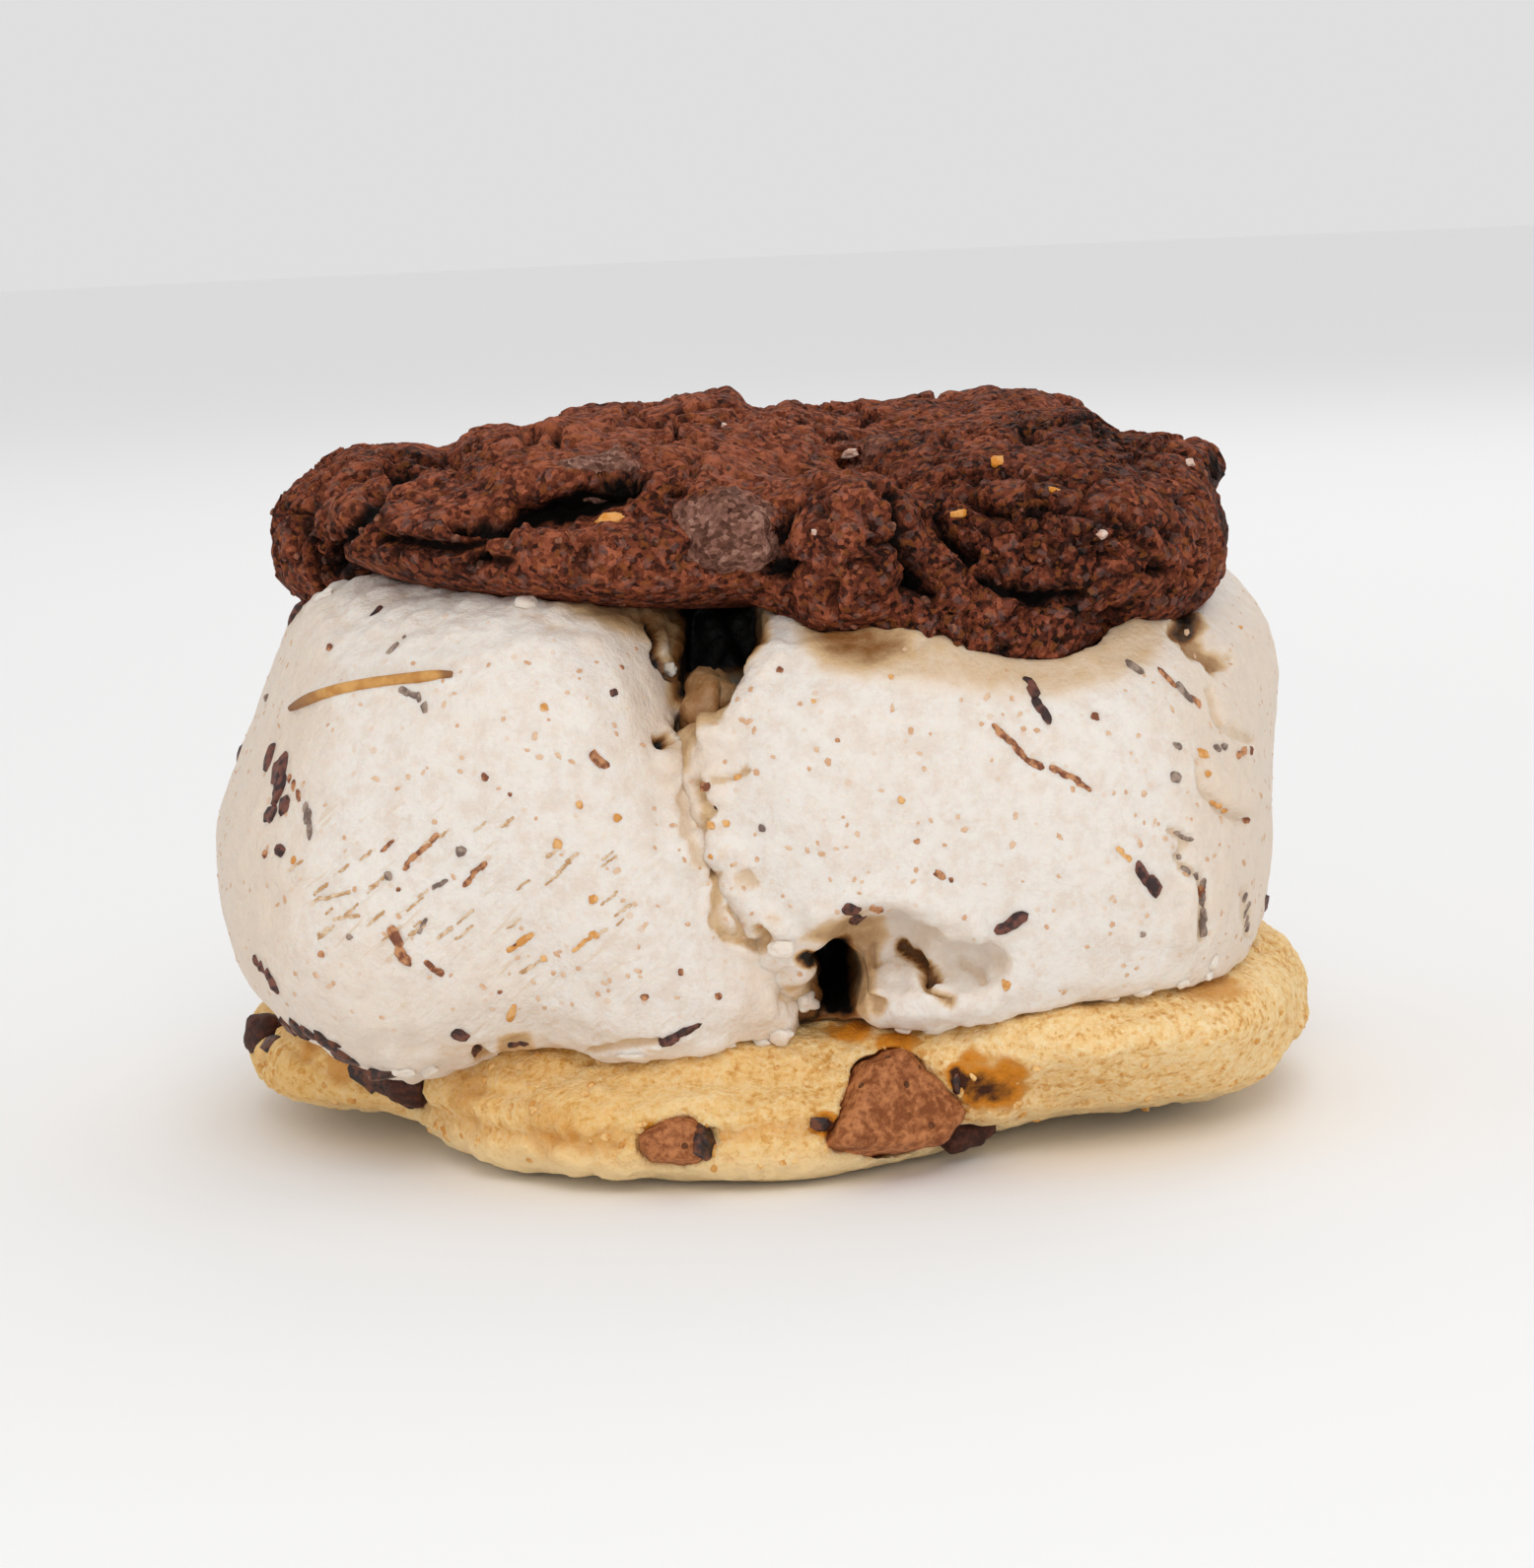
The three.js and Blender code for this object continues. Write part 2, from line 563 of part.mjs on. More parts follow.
function chunksOf(geometry, rows, touchAt, firstSeed) {
  return rows.map((row, index) => chunk(touchAt(geometry, row[1], row[2]), row, firstSeed + index));
}

const touchAzimuth = (geometry, degrees, height) => touchRound(geometry, degToRad(degrees), height);

// Flakes in the ice cream. A row is x, z, length, width and turn in degrees.
const FLAKES_LEFT = [
  [-38.9, 29.3, 5.8, 2.6, 80],
  [-36.7, 25.6, 3, 0.9, -60],
  [-27.6, 19.6, 2.6, 1.1, -45],
  [-26, 18.7, 2, 1, -20],
  [-12.1, 33.7, 1.9, 0.9, -25],
  [-40.2, 14.8, 3, 1.2, -65],
  [-22.9, 27, 1.5, 1.2, 0],
];
const FLAKES_RIGHT = [
  [20.3, 36, 3.6, 1.3, -65],
  [18.5, 33, 4.2, 0.9, -45],
  [22.6, 30.2, 3.4, 0.8, -28],
  [31.9, 34.6, 3.4, 1, -42],
  [28.1, 21.9, 3.8, 1.1, -58],
  [6.2, 21.9, 1.9, 1.4, 10],
  [17.7, 19.8, 2.6, 1.6, 20],
  [32.8, 29.5, 4.4, 1, 82],
  [33.1, 20.5, 6, 1.1, 88],
];
const FLAKE_DEPTH = 1.5;
const FLAKE_CORNERS = 9;
const SCATTERED_FLAKES = 9; // on each scoop, round its side and back
const SCATTER_LOW = 16;
const SCATTER_HIGH = 35;

function flake(place, length, width, turn, seed) {
  const shape = nugget(new THREE.Vector3(length, width, FLAKE_DEPTH), seed, FLAKE_CORNERS);
  return solid(seated(shape, place, turn, FLAKE_PROUD, FLAKE_DEPTH));
}

function flakesOf(geometry, rows, firstAzimuth, lastAzimuth, seed) {
  const shown = rows.map(([x, z, length, width, turn], index) =>
    flake(touchFront(geometry, x, z), length, width, degToRad(turn), seed + index),
  );
  const scattered = Array.from({ length: SCATTERED_FLAKES }, (_, index) => {
    const draw = (axis) => hash(index, axis, 0, seed);
    const azimuth = lerp(firstAzimuth, lastAzimuth, (index + draw(0)) / SCATTERED_FLAKES);
    const place = touchRound(geometry, degToRad(azimuth), lerp(SCATTER_LOW, SCATTER_HIGH, draw(1)));
    return flake(place, lerp(2, 4.6, draw(2)), lerp(0.9, 1.8, draw(3)), Math.PI * draw(4), seed - index);
  });
  return joined([...shown, ...scattered]);
}

// The thin curved shaving on the left scoop, laid on it from point to point.
const SHAVING_RADIUS = 0.55;
const SHAVING_ROUTE = [
  [-37.4, 35.6],
  [-35.4, 37.2],
  [-32.6, 38.2],
  [-29, 38.8],
  [-25.6, 39.2],
  [-23.2, 39.4],
];

function shaving(geometry) {
  const route = SHAVING_ROUTE.map(([x, z]) => {
    const { point, outward } = touchFront(geometry, x, z);
    return point.addScaledVector(outward, SHAVING_RADIUS * 0.3);
  });
  const section = new THREE.Shape().absarc(0, 0, SHAVING_RADIUS, 0, 2 * Math.PI);
  const extrudePath = new THREE.CatmullRomCurve3(route);
  const options = { extrudePath, steps: 10, curveSegments: 3, bevelEnabled: false };
  return solid(new THREE.ExtrudeGeometry(section, options));
}

function seamCrumbs(geometry) {
  const crumbs = SEAM_CRUMBS.map(([x, z, width], index) => {
    const size = new THREE.Vector3(width, width * 0.85, width);
    const place = touchFront(geometry, x, z);
    return solid(seated(nugget(size, 80 + index, 12, 0.85), place, index, width * 0.2, width));
  });
  return joined(crumbs);
}

// ---- The object ----
const CRUMB_ROUGHNESS = 0.88;
const SATIN_ROUGHNESS = 0.48;
const FINISHES = {
  chocolateCookie: { color: 0x5f3728, roughness: CRUMB_ROUGHNESS },
  goldenCookie: { color: 0xdcb070, roughness: CRUMB_ROUGHNESS },
  iceCream: { color: 0xe9dfd3, roughness: SATIN_ROUGHNESS },
  milk: { color: 0x9a5f38, roughness: SATIN_ROUGHNESS },
  dark: { color: 0x3a2018, roughness: SATIN_ROUGHNESS },
};

const sandwich = new THREE.Group();

function addPiece(name, geometry, finish) {
  const material = new THREE.MeshStandardMaterial({ ...FINISHES[finish], metalness: 0 });
  const piece = new THREE.Mesh(geometry, material);
  piece.name = name;
  sandwich.add(piece);
}

const base = bottomCookie();
const top = topCookie();
const baseChunks = [
  ...chunksOf(base, BASE_CHUNKS_FRONT, touchFront, 60),
  ...chunksOf(base, BASE_CHUNKS_ROUND, touchAzimuth, 65),
];
const topChunks = [
  ...chunksOf(top, TOP_CHUNKS_FRONT, touchFront, 75),
  ...chunksOf(top, TOP_CHUNKS_ABOVE, touchAbove, 76),
];
const allGrown = (chunks) => joined(chunks.map(({ geometry }) => grown(geometry)));
const baseHoles = allGrown(baseChunks);
const topHoles = allGrown(topChunks);
const cookieRoom = joined([grown(base), grown(top), baseHoles, topHoles]);

const leftSkin = scoop(LEFT_LUMPS, 41);
const rightSkin = scoop(RIGHT_LUMPS, 51);
const openings = voidCut().add(hollows(CAVE_LUMPS));
const leftBody = solid(leftSkin).subtract(openings).add(seamCrumbs(leftSkin)).subtract(cookieRoom);
const leftGeometry = geometryOf(leftBody);
const leftFlakes = flakesOf(leftGeometry, FLAKES_LEFT, 105, 195, 90).add(shaving(leftGeometry));
const leftScoop = geometryOf(solid(leftGeometry).add(leftFlakes));
const nudges = [-1, 1].flatMap((way) => [[way, 0, 0], [0, way, 0], [0, 0, way]]);
const nudged = nudges.map((nudge) => solid(leftScoop).translate(nudge.map((way) => way * CLEARANCE)));
const leftRoom = joined([grown(leftScoop), ...nudged]); // its torn folds need the nudges as well
const rightBody = solid(rightSkin).subtract(openings).subtract(hollows(HOLLOW_LUMPS)).subtract(cookieRoom);
const rightGeometry = geometryOf(rightBody.subtract(leftRoom));
const rightFlakes = flakesOf(rightGeometry, FLAKES_RIGHT, -30, 80, 120).subtract(leftRoom);

addPiece("bottom_cookie", geometryOf(solid(base).subtract(baseHoles)), "goldenCookie");
addPiece("top_cookie", geometryOf(solid(top).subtract(topHoles)), "chocolateCookie");
addPiece("scoop_left", leftScoop, "iceCream");
addPiece("scoop_right", geometryOf(solid(rightGeometry).add(rightFlakes)), "iceCream");
baseChunks.forEach(({ kind, geometry }, index) => addPiece(`base_chunk_${index + 1}`, geometry, kind));
topChunks.forEach(({ kind, geometry }, index) => addPiece(`top_chunk_${index + 1}`, geometry, kind));

export default sandwich;
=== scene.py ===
"""An ice cream sandwich: two scoops of flecked ice cream between a dark and a golden cookie.

Each operator makes one piece, or a group of like pieces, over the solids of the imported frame. The scene is
in metres with +Z up; the relief is worked out in millimetres.
"""
import math
import bmesh
import bpy
import numpy as np
from bpy.props import FloatProperty, FloatVectorProperty, IntProperty, PointerProperty
from mathutils import Matrix, Vector
from mathutils.bvhtree import BVHTree


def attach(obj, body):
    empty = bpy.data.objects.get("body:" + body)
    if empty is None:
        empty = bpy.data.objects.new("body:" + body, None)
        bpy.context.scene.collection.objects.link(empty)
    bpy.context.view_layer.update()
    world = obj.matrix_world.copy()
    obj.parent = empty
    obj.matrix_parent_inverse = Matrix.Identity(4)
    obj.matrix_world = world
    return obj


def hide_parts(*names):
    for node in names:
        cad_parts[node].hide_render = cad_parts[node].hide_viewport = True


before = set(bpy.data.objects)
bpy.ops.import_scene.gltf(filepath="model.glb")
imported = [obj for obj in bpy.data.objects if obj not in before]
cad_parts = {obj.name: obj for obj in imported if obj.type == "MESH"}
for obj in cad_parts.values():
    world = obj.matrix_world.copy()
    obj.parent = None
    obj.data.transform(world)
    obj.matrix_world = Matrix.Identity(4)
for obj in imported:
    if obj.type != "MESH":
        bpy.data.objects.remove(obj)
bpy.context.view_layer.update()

bl_info = {
    "name": "Ice Cream Sandwich",
    "version": (1, 0, 0),
    "blender": (4, 5, 0),
    "location": "View3D > Sidebar > Sandwich",
    "description": "Cookies, scoops, chocolate and crumbs of an ice cream sandwich",
    "category": "Add Mesh",
}

MM = 0.001
BODY = "root"
FRAME_WIDTH, FRAME_HEIGHT = 1556, 1591
SENSOR = 36


# ---- Settings ----
def linear(red, green, blue):
    """A screen colour in steps of 255, as the linear values that a shader takes."""
    shares = (step / 255 for step in (red, green, blue))
    return tuple(s / 12.92 if s <= 0.04045 else ((s + 0.055) / 1.055) ** 2.4 for s in shares)


def tint(name, description, *screen_colour):
    """A colour in the panel."""
    return FloatVectorProperty(
        name=name,
        description=description,
        subtype="COLOR",
        size=3,
        min=0,
        max=1,
        default=linear(*screen_colour),
    )


def length(name, description, millimetres):
    """A length in the panel."""
    return FloatProperty(
        name=name, description=description, unit="LENGTH", precision=5, min=0, default=millimetres * MM
    )


class SandwichSizes(bpy.types.PropertyGroup):
    """How fine the meshes are, and how rough each surface is."""

    top_spacing: length("Top cookie mesh", "Spacing of the top cookie's mesh", 0.28)
    base_spacing: length("Bottom cookie mesh", "Spacing of the bottom cookie's mesh", 0.4)
    scoop_spacing: length("Scoop mesh", "Spacing of the scoops' meshes", 0.34)
    chunk_spacing: length("Chunk mesh", "Spacing of the chocolate chunks' meshes", 0.3)
    top_crumb: length("Top cookie crumb", "Height of the dark cookie's bumps and crumb", 0.4)
    base_crumb: length("Bottom cookie crumb", "Height of the golden cookie's bumps and crumb", 0.42)
    scoop_relief: length("Scoop relief", "Height of the ripples on the ice cream", 0.16)
    torn_relief: length("Torn relief", "Height of the torn ice cream along seam and edges", 1.1)
    fleck_count: IntProperty(
        name="Flecks", description="Tiny flecks scattered over the ice cream", min=0, default=1000
    )
    crumb_count: IntProperty(
        name="Crumbs", description="Loose crumbs scattered over each cookie", min=0, default=300
    )


class SandwichColours(bpy.types.PropertyGroup):
    """The colours of the food."""

    # Cocoa pit is the crumb's darkest tone, and also the painted shade in the dark cookie's cracks and pits.
    cocoa_pit_and_crack_shade: tint("Cocoa pit", "The dark cookie in its cracks", 10, 5, 3)
    # Cocoa low and cocoa high also carry painted shade in the hollows and painted light on the raised crumb
    # and the lit top.
    cocoa_low: tint("Cocoa low", "The dark cookie's hollows", 58, 27, 18)
    cocoa: tint("Cocoa", "The dark cookie's crumb", 112, 55, 36)
    cocoa_high: tint("Cocoa high", "The dark cookie's raised crumb", 164, 92, 64)
    cocoa_grey: tint("Cocoa grey", "Dull grains in the dark cookie's crumb", 132, 104, 98)
    cocoa_orange: tint("Cocoa orange", "Sugary grains in the dark cookie's crumb", 150, 86, 38)
    # Caramel is also painted into the golden cookie's folds and along the ice cream's foot as painted shade.
    caramel: tint("Caramel", "Bits of caramel in the cookies", 212, 132, 28)
    burnt: tint("Burnt sugar", "The darkest spots of the golden cookie", 66, 30, 10)
    golden: tint("Golden", "The golden cookie's crust", 240, 199, 134)
    # Golden pale is also painted over the underside as painted light thrown up from the floor.
    golden_pale_and_lit_underside: tint("Golden pale", "The golden cookie's palest crumb", 248, 220, 170)
    golden_rich: tint("Golden rich", "The golden cookie's yellower left half", 222, 168, 80)
    golden_brown: tint("Golden brown", "The golden cookie where it has browned", 208, 148, 72)
    cream: tint("Cream", "The ice cream", 234, 227, 219)
    # Cream warm is the richer tone, and also painted warm shade where the ice cream turns sideways and at its
    # lower left.
    cream_warm_tone_and_shade: tint("Cream warm", "The ice cream where it is richer", 229, 211, 192)
    cream_dull: tint("Cream dull", "The ice cream where it is mottled", 220, 202, 186)
    # Cream tan also marks the drag streaks; with cream brown and cream pit it is painted shade in holes,
    # hollows, creases and under the top cookie.
    cream_tan_mark_and_shade: tint("Cream tan", "The ice cream where cocoa has stained it lightly", 210, 177, 134)
    cream_brown_shade: tint("Cream brown", "The ice cream where cocoa has stained it well", 142, 94, 48)
    cream_hole_shade: tint("Cream pit", "The ice cream deep inside its holes", 14, 9, 6)
    milk: tint("Milk chocolate", "The milk chocolate chunks", 130, 70, 32)
    dark: tint("Dark chocolate", "The dark chocolate chunks and flakes", 54, 27, 20)
    bloom: tint("Bloomed chocolate", "The greyish patch of melted chocolate", 138, 98, 84)
    shaving: tint("Shaving", "The golden shaving on the left scoop", 188, 128, 56)
    fleck: tint("Fleck", "The tiny flecks in the ice cream", 222, 188, 156)


class SandwichView(bpy.types.PropertyGroup):
    """Where the camera stands."""

    distance: length("Distance", "From the camera to the sandwich's middle", 350)
    height: length("Height", "Of the camera above the floor", 77)
    pitch: FloatProperty(
        name="Pitch", description="How far the camera looks down", unit="ROTATION", default=math.radians(8.45)
    )
    roll: FloatProperty(
        name="Roll", description="How far the camera leans", unit="ROTATION", default=math.radians(2.5)
    )
    lens: FloatProperty(name="Lens", description="Focal length", unit="CAMERA", default=96.6)


# ---- Noise: the same whole-number hash gives the same relief on every run ----
HASH_PRIMES = (374761393, 668265263, 69069, 974634777)
STIR_PRIME = 1274126177


def hashed(*numbers):
    """An even draw from 0 to 1 for each place, from its whole numbers."""
    mixed = np.uint32(0)
    for number, prime in zip(numbers, HASH_PRIMES):
        whole = np.asarray(number, dtype=np.int64).astype(np.uint32)
        mixed = mixed ^ (whole * np.array([prime], np.uint32))
    stirred = (mixed ^ (mixed >> 13)) * np.array([STIR_PRIME], np.uint32)
    return (stirred ^ (stirred >> 16)) / 2**32


def smoothstep(low, high, values):
    """0 up to low and 1 from high, or the other way round where low is the greater, with an eased step."""
    share = np.clip((values - low) / (high - low), 0, 1)
    return share * share * (3 - 2 * share)


def fade(full, gone, values):
    """1 up to full and 0 from gone, with an eased step."""
    return 1 - smoothstep(full, gone, values)


def noise(points, grain, seed):
    """Smooth noise from -1 to 1 whose bumps are about one grain across."""
    scaled = points / grain
    corner = np.floor(scaled).astype(np.int64)
    ease = smoothstep(0, 1, scaled - corner)
    total = np.zeros(len(points))
    for octant in range(8):
        step = np.array([octant & 1, (octant >> 1) & 1, octant >> 2])
        share = np.prod(np.where(step, ease, 1 - ease), axis=1)
        total += share * hashed(*(corner + step).T, seed)
    return 2 * total - 1


def rough_noise(points, grain, seed, octaves=3):
    """Noise with finer and finer grain, from about -1 to 1."""
    layers = [noise(points, grain / 2**octave, seed + octave) / 2**octave for octave in range(octaves)]
    return sum(layers) / 1.4


def cell_noise(points, cell, seed):
    """Distances in cells to the nearest and second nearest of scattered seats, and the nearest's draw."""
    home = np.floor(points / cell).astype(np.int64)
    nearest = np.full(len(points), np.inf)
    second = np.full(len(points), np.inf)
    draw = np.zeros(len(points))
    for neighbour in range(27):
        place = home + np.array([neighbour % 3, neighbour // 3 % 3, neighbour // 9]) - 1
        shift = np.stack([hashed(*place.T, seed + axis) for axis in range(3)], axis=1)
        distance = np.linalg.norm(place + shift - points / cell, axis=1)
        closer = distance < nearest
        second = np.where(closer, nearest, np.minimum(second, distance))
        draw = np.where(closer, hashed(*place.T, seed + 3), draw)
        nearest = np.where(closer, distance, nearest)
    return nearest, second, draw


def cell_borders(points, cell, seed, width):
    """1 on the borders between cells and 0 from a width inside them, and a draw for each cell."""
    nearest, second, draw = cell_noise(points, cell, seed)
    return fade(0, width, second - nearest), draw


def warp(points, reach, grain, seed):
    """Points moved unevenly by up to a reach, so that what is laid out on them doesn't look even."""
    return points + reach * np.stack([noise(points, grain, seed + axis) for axis in range(3)], axis=1)


# ---- Meshes ----
COOKIE_ROUNDS, SCOOP_ROUNDS, CHUNK_ROUNDS = 22, 26, 4  # of smoothing, enough to hide the facets


def add_object(name, data):
    """A new object in the scene."""
    thing = bpy.data.objects.new(name, data)
    bpy.context.scene.collection.objects.link(thing)
    return thing


def add_piece(name, mesh, material, nodes=()):
    """Adds a piece that rides with the sandwich and stands for the given nodes."""
    mesh.materials.append(material)
    piece = add_object(name, mesh)
    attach(piece, BODY)
    if nodes:
        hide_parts(*nodes)


def final_mesh(thing):
    """The mesh that an object's modifiers or curve make. The object goes."""
    graph = bpy.context.evaluated_depsgraph_get()
    mesh = bpy.data.meshes.new_from_object(thing.evaluated_get(graph))
    bpy.data.objects.remove(thing)
    return mesh


def fine_mesh(node, spacing, rounds):
    """A fine, even copy of a node's mesh with its facets smoothed away."""
    rough = add_object("rough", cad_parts[node].data.copy())
    remesh = rough.modifiers.new("Even", "REMESH")
    remesh.mode = "VOXEL"
    remesh.voxel_size = spacing
    soften = rough.modifiers.new("Soften", "SMOOTH")
    soften.factor = 0.5
    soften.iterations = rounds
    mesh = final_mesh(rough)
    mesh.name = node
    mesh.materials.clear()
    mesh.shade_smooth()
    return mesh


def points_of(mesh):
    """A mesh's vertices in millimetres, and their normals."""
    points = np.empty(len(mesh.vertices) * 3)
    normals = np.empty(len(mesh.vertices) * 3)
    mesh.vertices.foreach_get("co", points)
    mesh.vertex_normals.foreach_get("vector", normals)
    return points.reshape(-1, 3) / MM, normals.reshape(-1, 3)


def set_points(mesh, points):
    """Moves a mesh's vertices to points in millimetres."""
    mesh.vertices.foreach_set("co", (points * MM).ravel())
    mesh.update()


def store(mesh, name, values):
    """Keeps a number for each vertex, for the material to read."""
    attribute = mesh.attributes.new(name, "FLOAT", "POINT")
    attribute.data.foreach_set("value", np.asarray(values, dtype=np.float32))


def tree_of(*meshes):
    """A tree for finding points on meshes."""
    points = []
    faces = []
    for mesh in meshes:
        first = len(points)
        points += [vertex.co.copy() for vertex in mesh.vertices]
        faces += [[first + corner for corner in face.vertices] for face in mesh.polygons]
    return BVHTree.FromPolygons(points, faces)


def tree_of_pieces(*names):
    """A tree for finding points on pieces that are already made."""
    return tree_of(*(bpy.data.objects[name].data for name in names))


# ---- Places: where a line of sight, or a level line, meets a piece ----
BEYOND = 0.2  # from the middle to well outside the sandwich, in metres
FRONT_DEPTH = 30  # from the middle to the front of the sandwich, in mm


def camera_axes():
    """The camera's right, up and forward directions."""
    view = bpy.context.scene.sandwich_view
    forward = Vector((0, math.cos(view.pitch), -math.sin(view.pitch)))
    upright = Vector((0, math.sin(view.pitch), math.cos(view.pitch)))
    sideways = Vector((1, 0, 0))
    right = sideways * math.cos(view.roll) - upright * math.sin(view.roll)
    up = sideways * math.sin(view.roll) + upright * math.cos(view.roll)
    return right, up, forward


def camera_place():
    """Where the camera is, in metres."""
    view = bpy.context.scene.sandwich_view
    return Vector((0, -view.distance, view.height))


def focal_steps():
    """The camera's focal length, in steps of the frame."""
    return bpy.context.scene.sandwich_view.lens / SENSOR * FRAME_HEIGHT


def sight_line(column, row):
    """The direction in which the camera sees a point of the frame, 1 m ahead."""
    right, up, forward = camera_axes()
    focal = focal_steps()
    return forward + right * (column - FRAME_WIDTH / 2) / focal + up * (FRAME_HEIGHT / 2 - row) / focal


def meet(tree, start, direction, otherwise):
    """The point and normal that a line meets first, or else those nearest to another point."""
    point, normal, _, _ = tree.ray_cast(start, direction)
    if point is None:
        point, normal, _, _ = tree.find_nearest(otherwise)
    return point, normal


def seen(tree, column, row):
    """The point and normal that show at a point of the frame, or else the nearest to it."""
    sight = sight_line(column, row)
    front = camera_place() + sight * (bpy.context.scene.sandwich_view.distance - FRONT_DEPTH * MM)
    return meet(tree, camera_place(), sight.normalized(), front)


def touch_round(tree, azimuth, height):
    """The point and normal at a height in mm, on the side that faces an azimuth."""
    outward = Vector((math.cos(azimuth), math.sin(azimuth), 0))
    start = outward * BEYOND + Vector((0, 0, height * MM))
    return meet(tree, start, -outward, start - outward * (BEYOND - FRONT_DEPTH * MM))


def frame_places(points):
    """The column and row of the frame where each point shows."""
    right, up, forward = (np.array(axis) for axis in camera_axes())
    sight = points - np.array(camera_place()) / MM
    ahead = sight @ forward
    focal = focal_steps()
    columns = FRAME_WIDTH / 2 + focal * (sight @ right) / ahead
    rows = FRAME_HEIGHT / 2 - focal * (sight @ up) / ahead
    return np.stack([columns, rows], axis=1)


FRAME_STEP = 1 / 13.7  # mm on the front of the scoops for a step of the frame


def off_line(points, stops):
    """How far each point is from a line through stops."""
    nearest = np.full(len(points), np.inf)
    for start, end in zip(stops, stops[1:]):
        along = end - start
        share = np.clip((points - start) @ along / (along @ along), 0, 1)
        gap = points - start - share[:, None] * along
        nearest = np.minimum(nearest, np.linalg.norm(gap, axis=1))
    return nearest


def off_route(places, route):
    """How far each place of the frame is from a line of stops, in mm on the front."""
    return off_line(places, np.array(route, dtype=float)) * FRAME_STEP


def within_outline(places, outline):
    """How far each place lies inside an outline, in mm on the front, or less than 0 outside it."""
    columns, rows = places.T
    inside = np.zeros(len(places), dtype=bool)
    closed = [*outline, outline[0]]
    for (column, row), (next_column, next_row) in zip(closed, closed[1:]):
        if row == next_row:
            continue
        crossing = column + (next_column - column) * (rows - row) / (next_row - row)
        inside ^= ((row > rows) != (next_row > rows)) & (columns < crossing)
    distance = off_route(places, closed)
    return np.where(inside, distance, -distance)


# ---- Lines and spots on a surface ----
LINE_REACH = 60  # points further than this from a line's middle are left out, in mm


def frame_lines(places, rows, rough, narrowing):
    """How deep each place of the frame lies in lines, whose rows give width, depth and their stops."""
    carved = np.zeros(len(places))
    for width, depth, *route in rows:
        profile = fade(0.15, 1, off_route(places, route) / (width * narrowing) + rough)
        carved = np.maximum(carved, depth * profile)
    return carved


def frame_spots(places, rows):
    """The sum at each place of the frame of soft spots, whose rows give column, row, radius and strength."""
    total = np.zeros(len(places))
    for column, row, radius, strength in rows:
        off = np.linalg.norm(places - (column, row), axis=1) / radius
        total += strength * fade(0.2, 1.1, off)
    return total


def depth_of_lines(points, tree, rows, wobble):
    """How deep each point lies in cracks, whose rows give width, depth and their stops in the frame."""
    carved = np.zeros(len(points))
    for width, depth, *route in rows:
        places = [np.array(seen(tree, *stop)[0]) / MM for stop in route]
        near = np.flatnonzero(np.linalg.norm(points - np.mean(places, axis=0), axis=1) < LINE_REACH)
        distance = off_line(points[near], places)
        profile = fade(0.15, 1, (distance / width + wobble[near]).clip(0))
        carved[near] = np.maximum(carved[near], depth * profile)
    return carved


def depth_of_spots(points, tree, rows, wobble):
    """How deep each point lies in spots, whose rows give the frame point, radius and depth."""
    carved = np.zeros(len(points))
    for column, row, radius, depth in rows:
        place = np.array(seen(tree, column, row)[0]) / MM
        distance = np.linalg.norm(points - place, axis=1) / radius
        carved += depth * fade(0.3, 1, (distance + wobble).clip(0))
    return carved


# ---- Materials ----
class Value:
    """A socket of a material. Arithmetic on a number adds Math nodes."""

    def __init__(self, finish, socket):
        self.finish = finish
        self.socket = socket

    def math(self, operation, first, second):
        return self.finish.add("ShaderNodeMath", {"operation": operation}, {0: first, 1: second})

    def __add__(self, other):
        return self.math("ADD", self, other)

    def __sub__(self, other):
        return self.math("SUBTRACT", self, other)

    def __rsub__(self, other):
        return self.math("SUBTRACT", other, self)

    def __mul__(self, other):
        return self.math("MULTIPLY", self, other)

    def between(self, low, high):
        """0 up to low and 1 from high, with an eased rise between them."""
        settings = {"interpolation_type": "SMOOTHSTEP"}
        inputs = {"Value": self, "From Min": low, "From Max": high}
        return self.finish.add("ShaderNodeMapRange", settings, inputs)


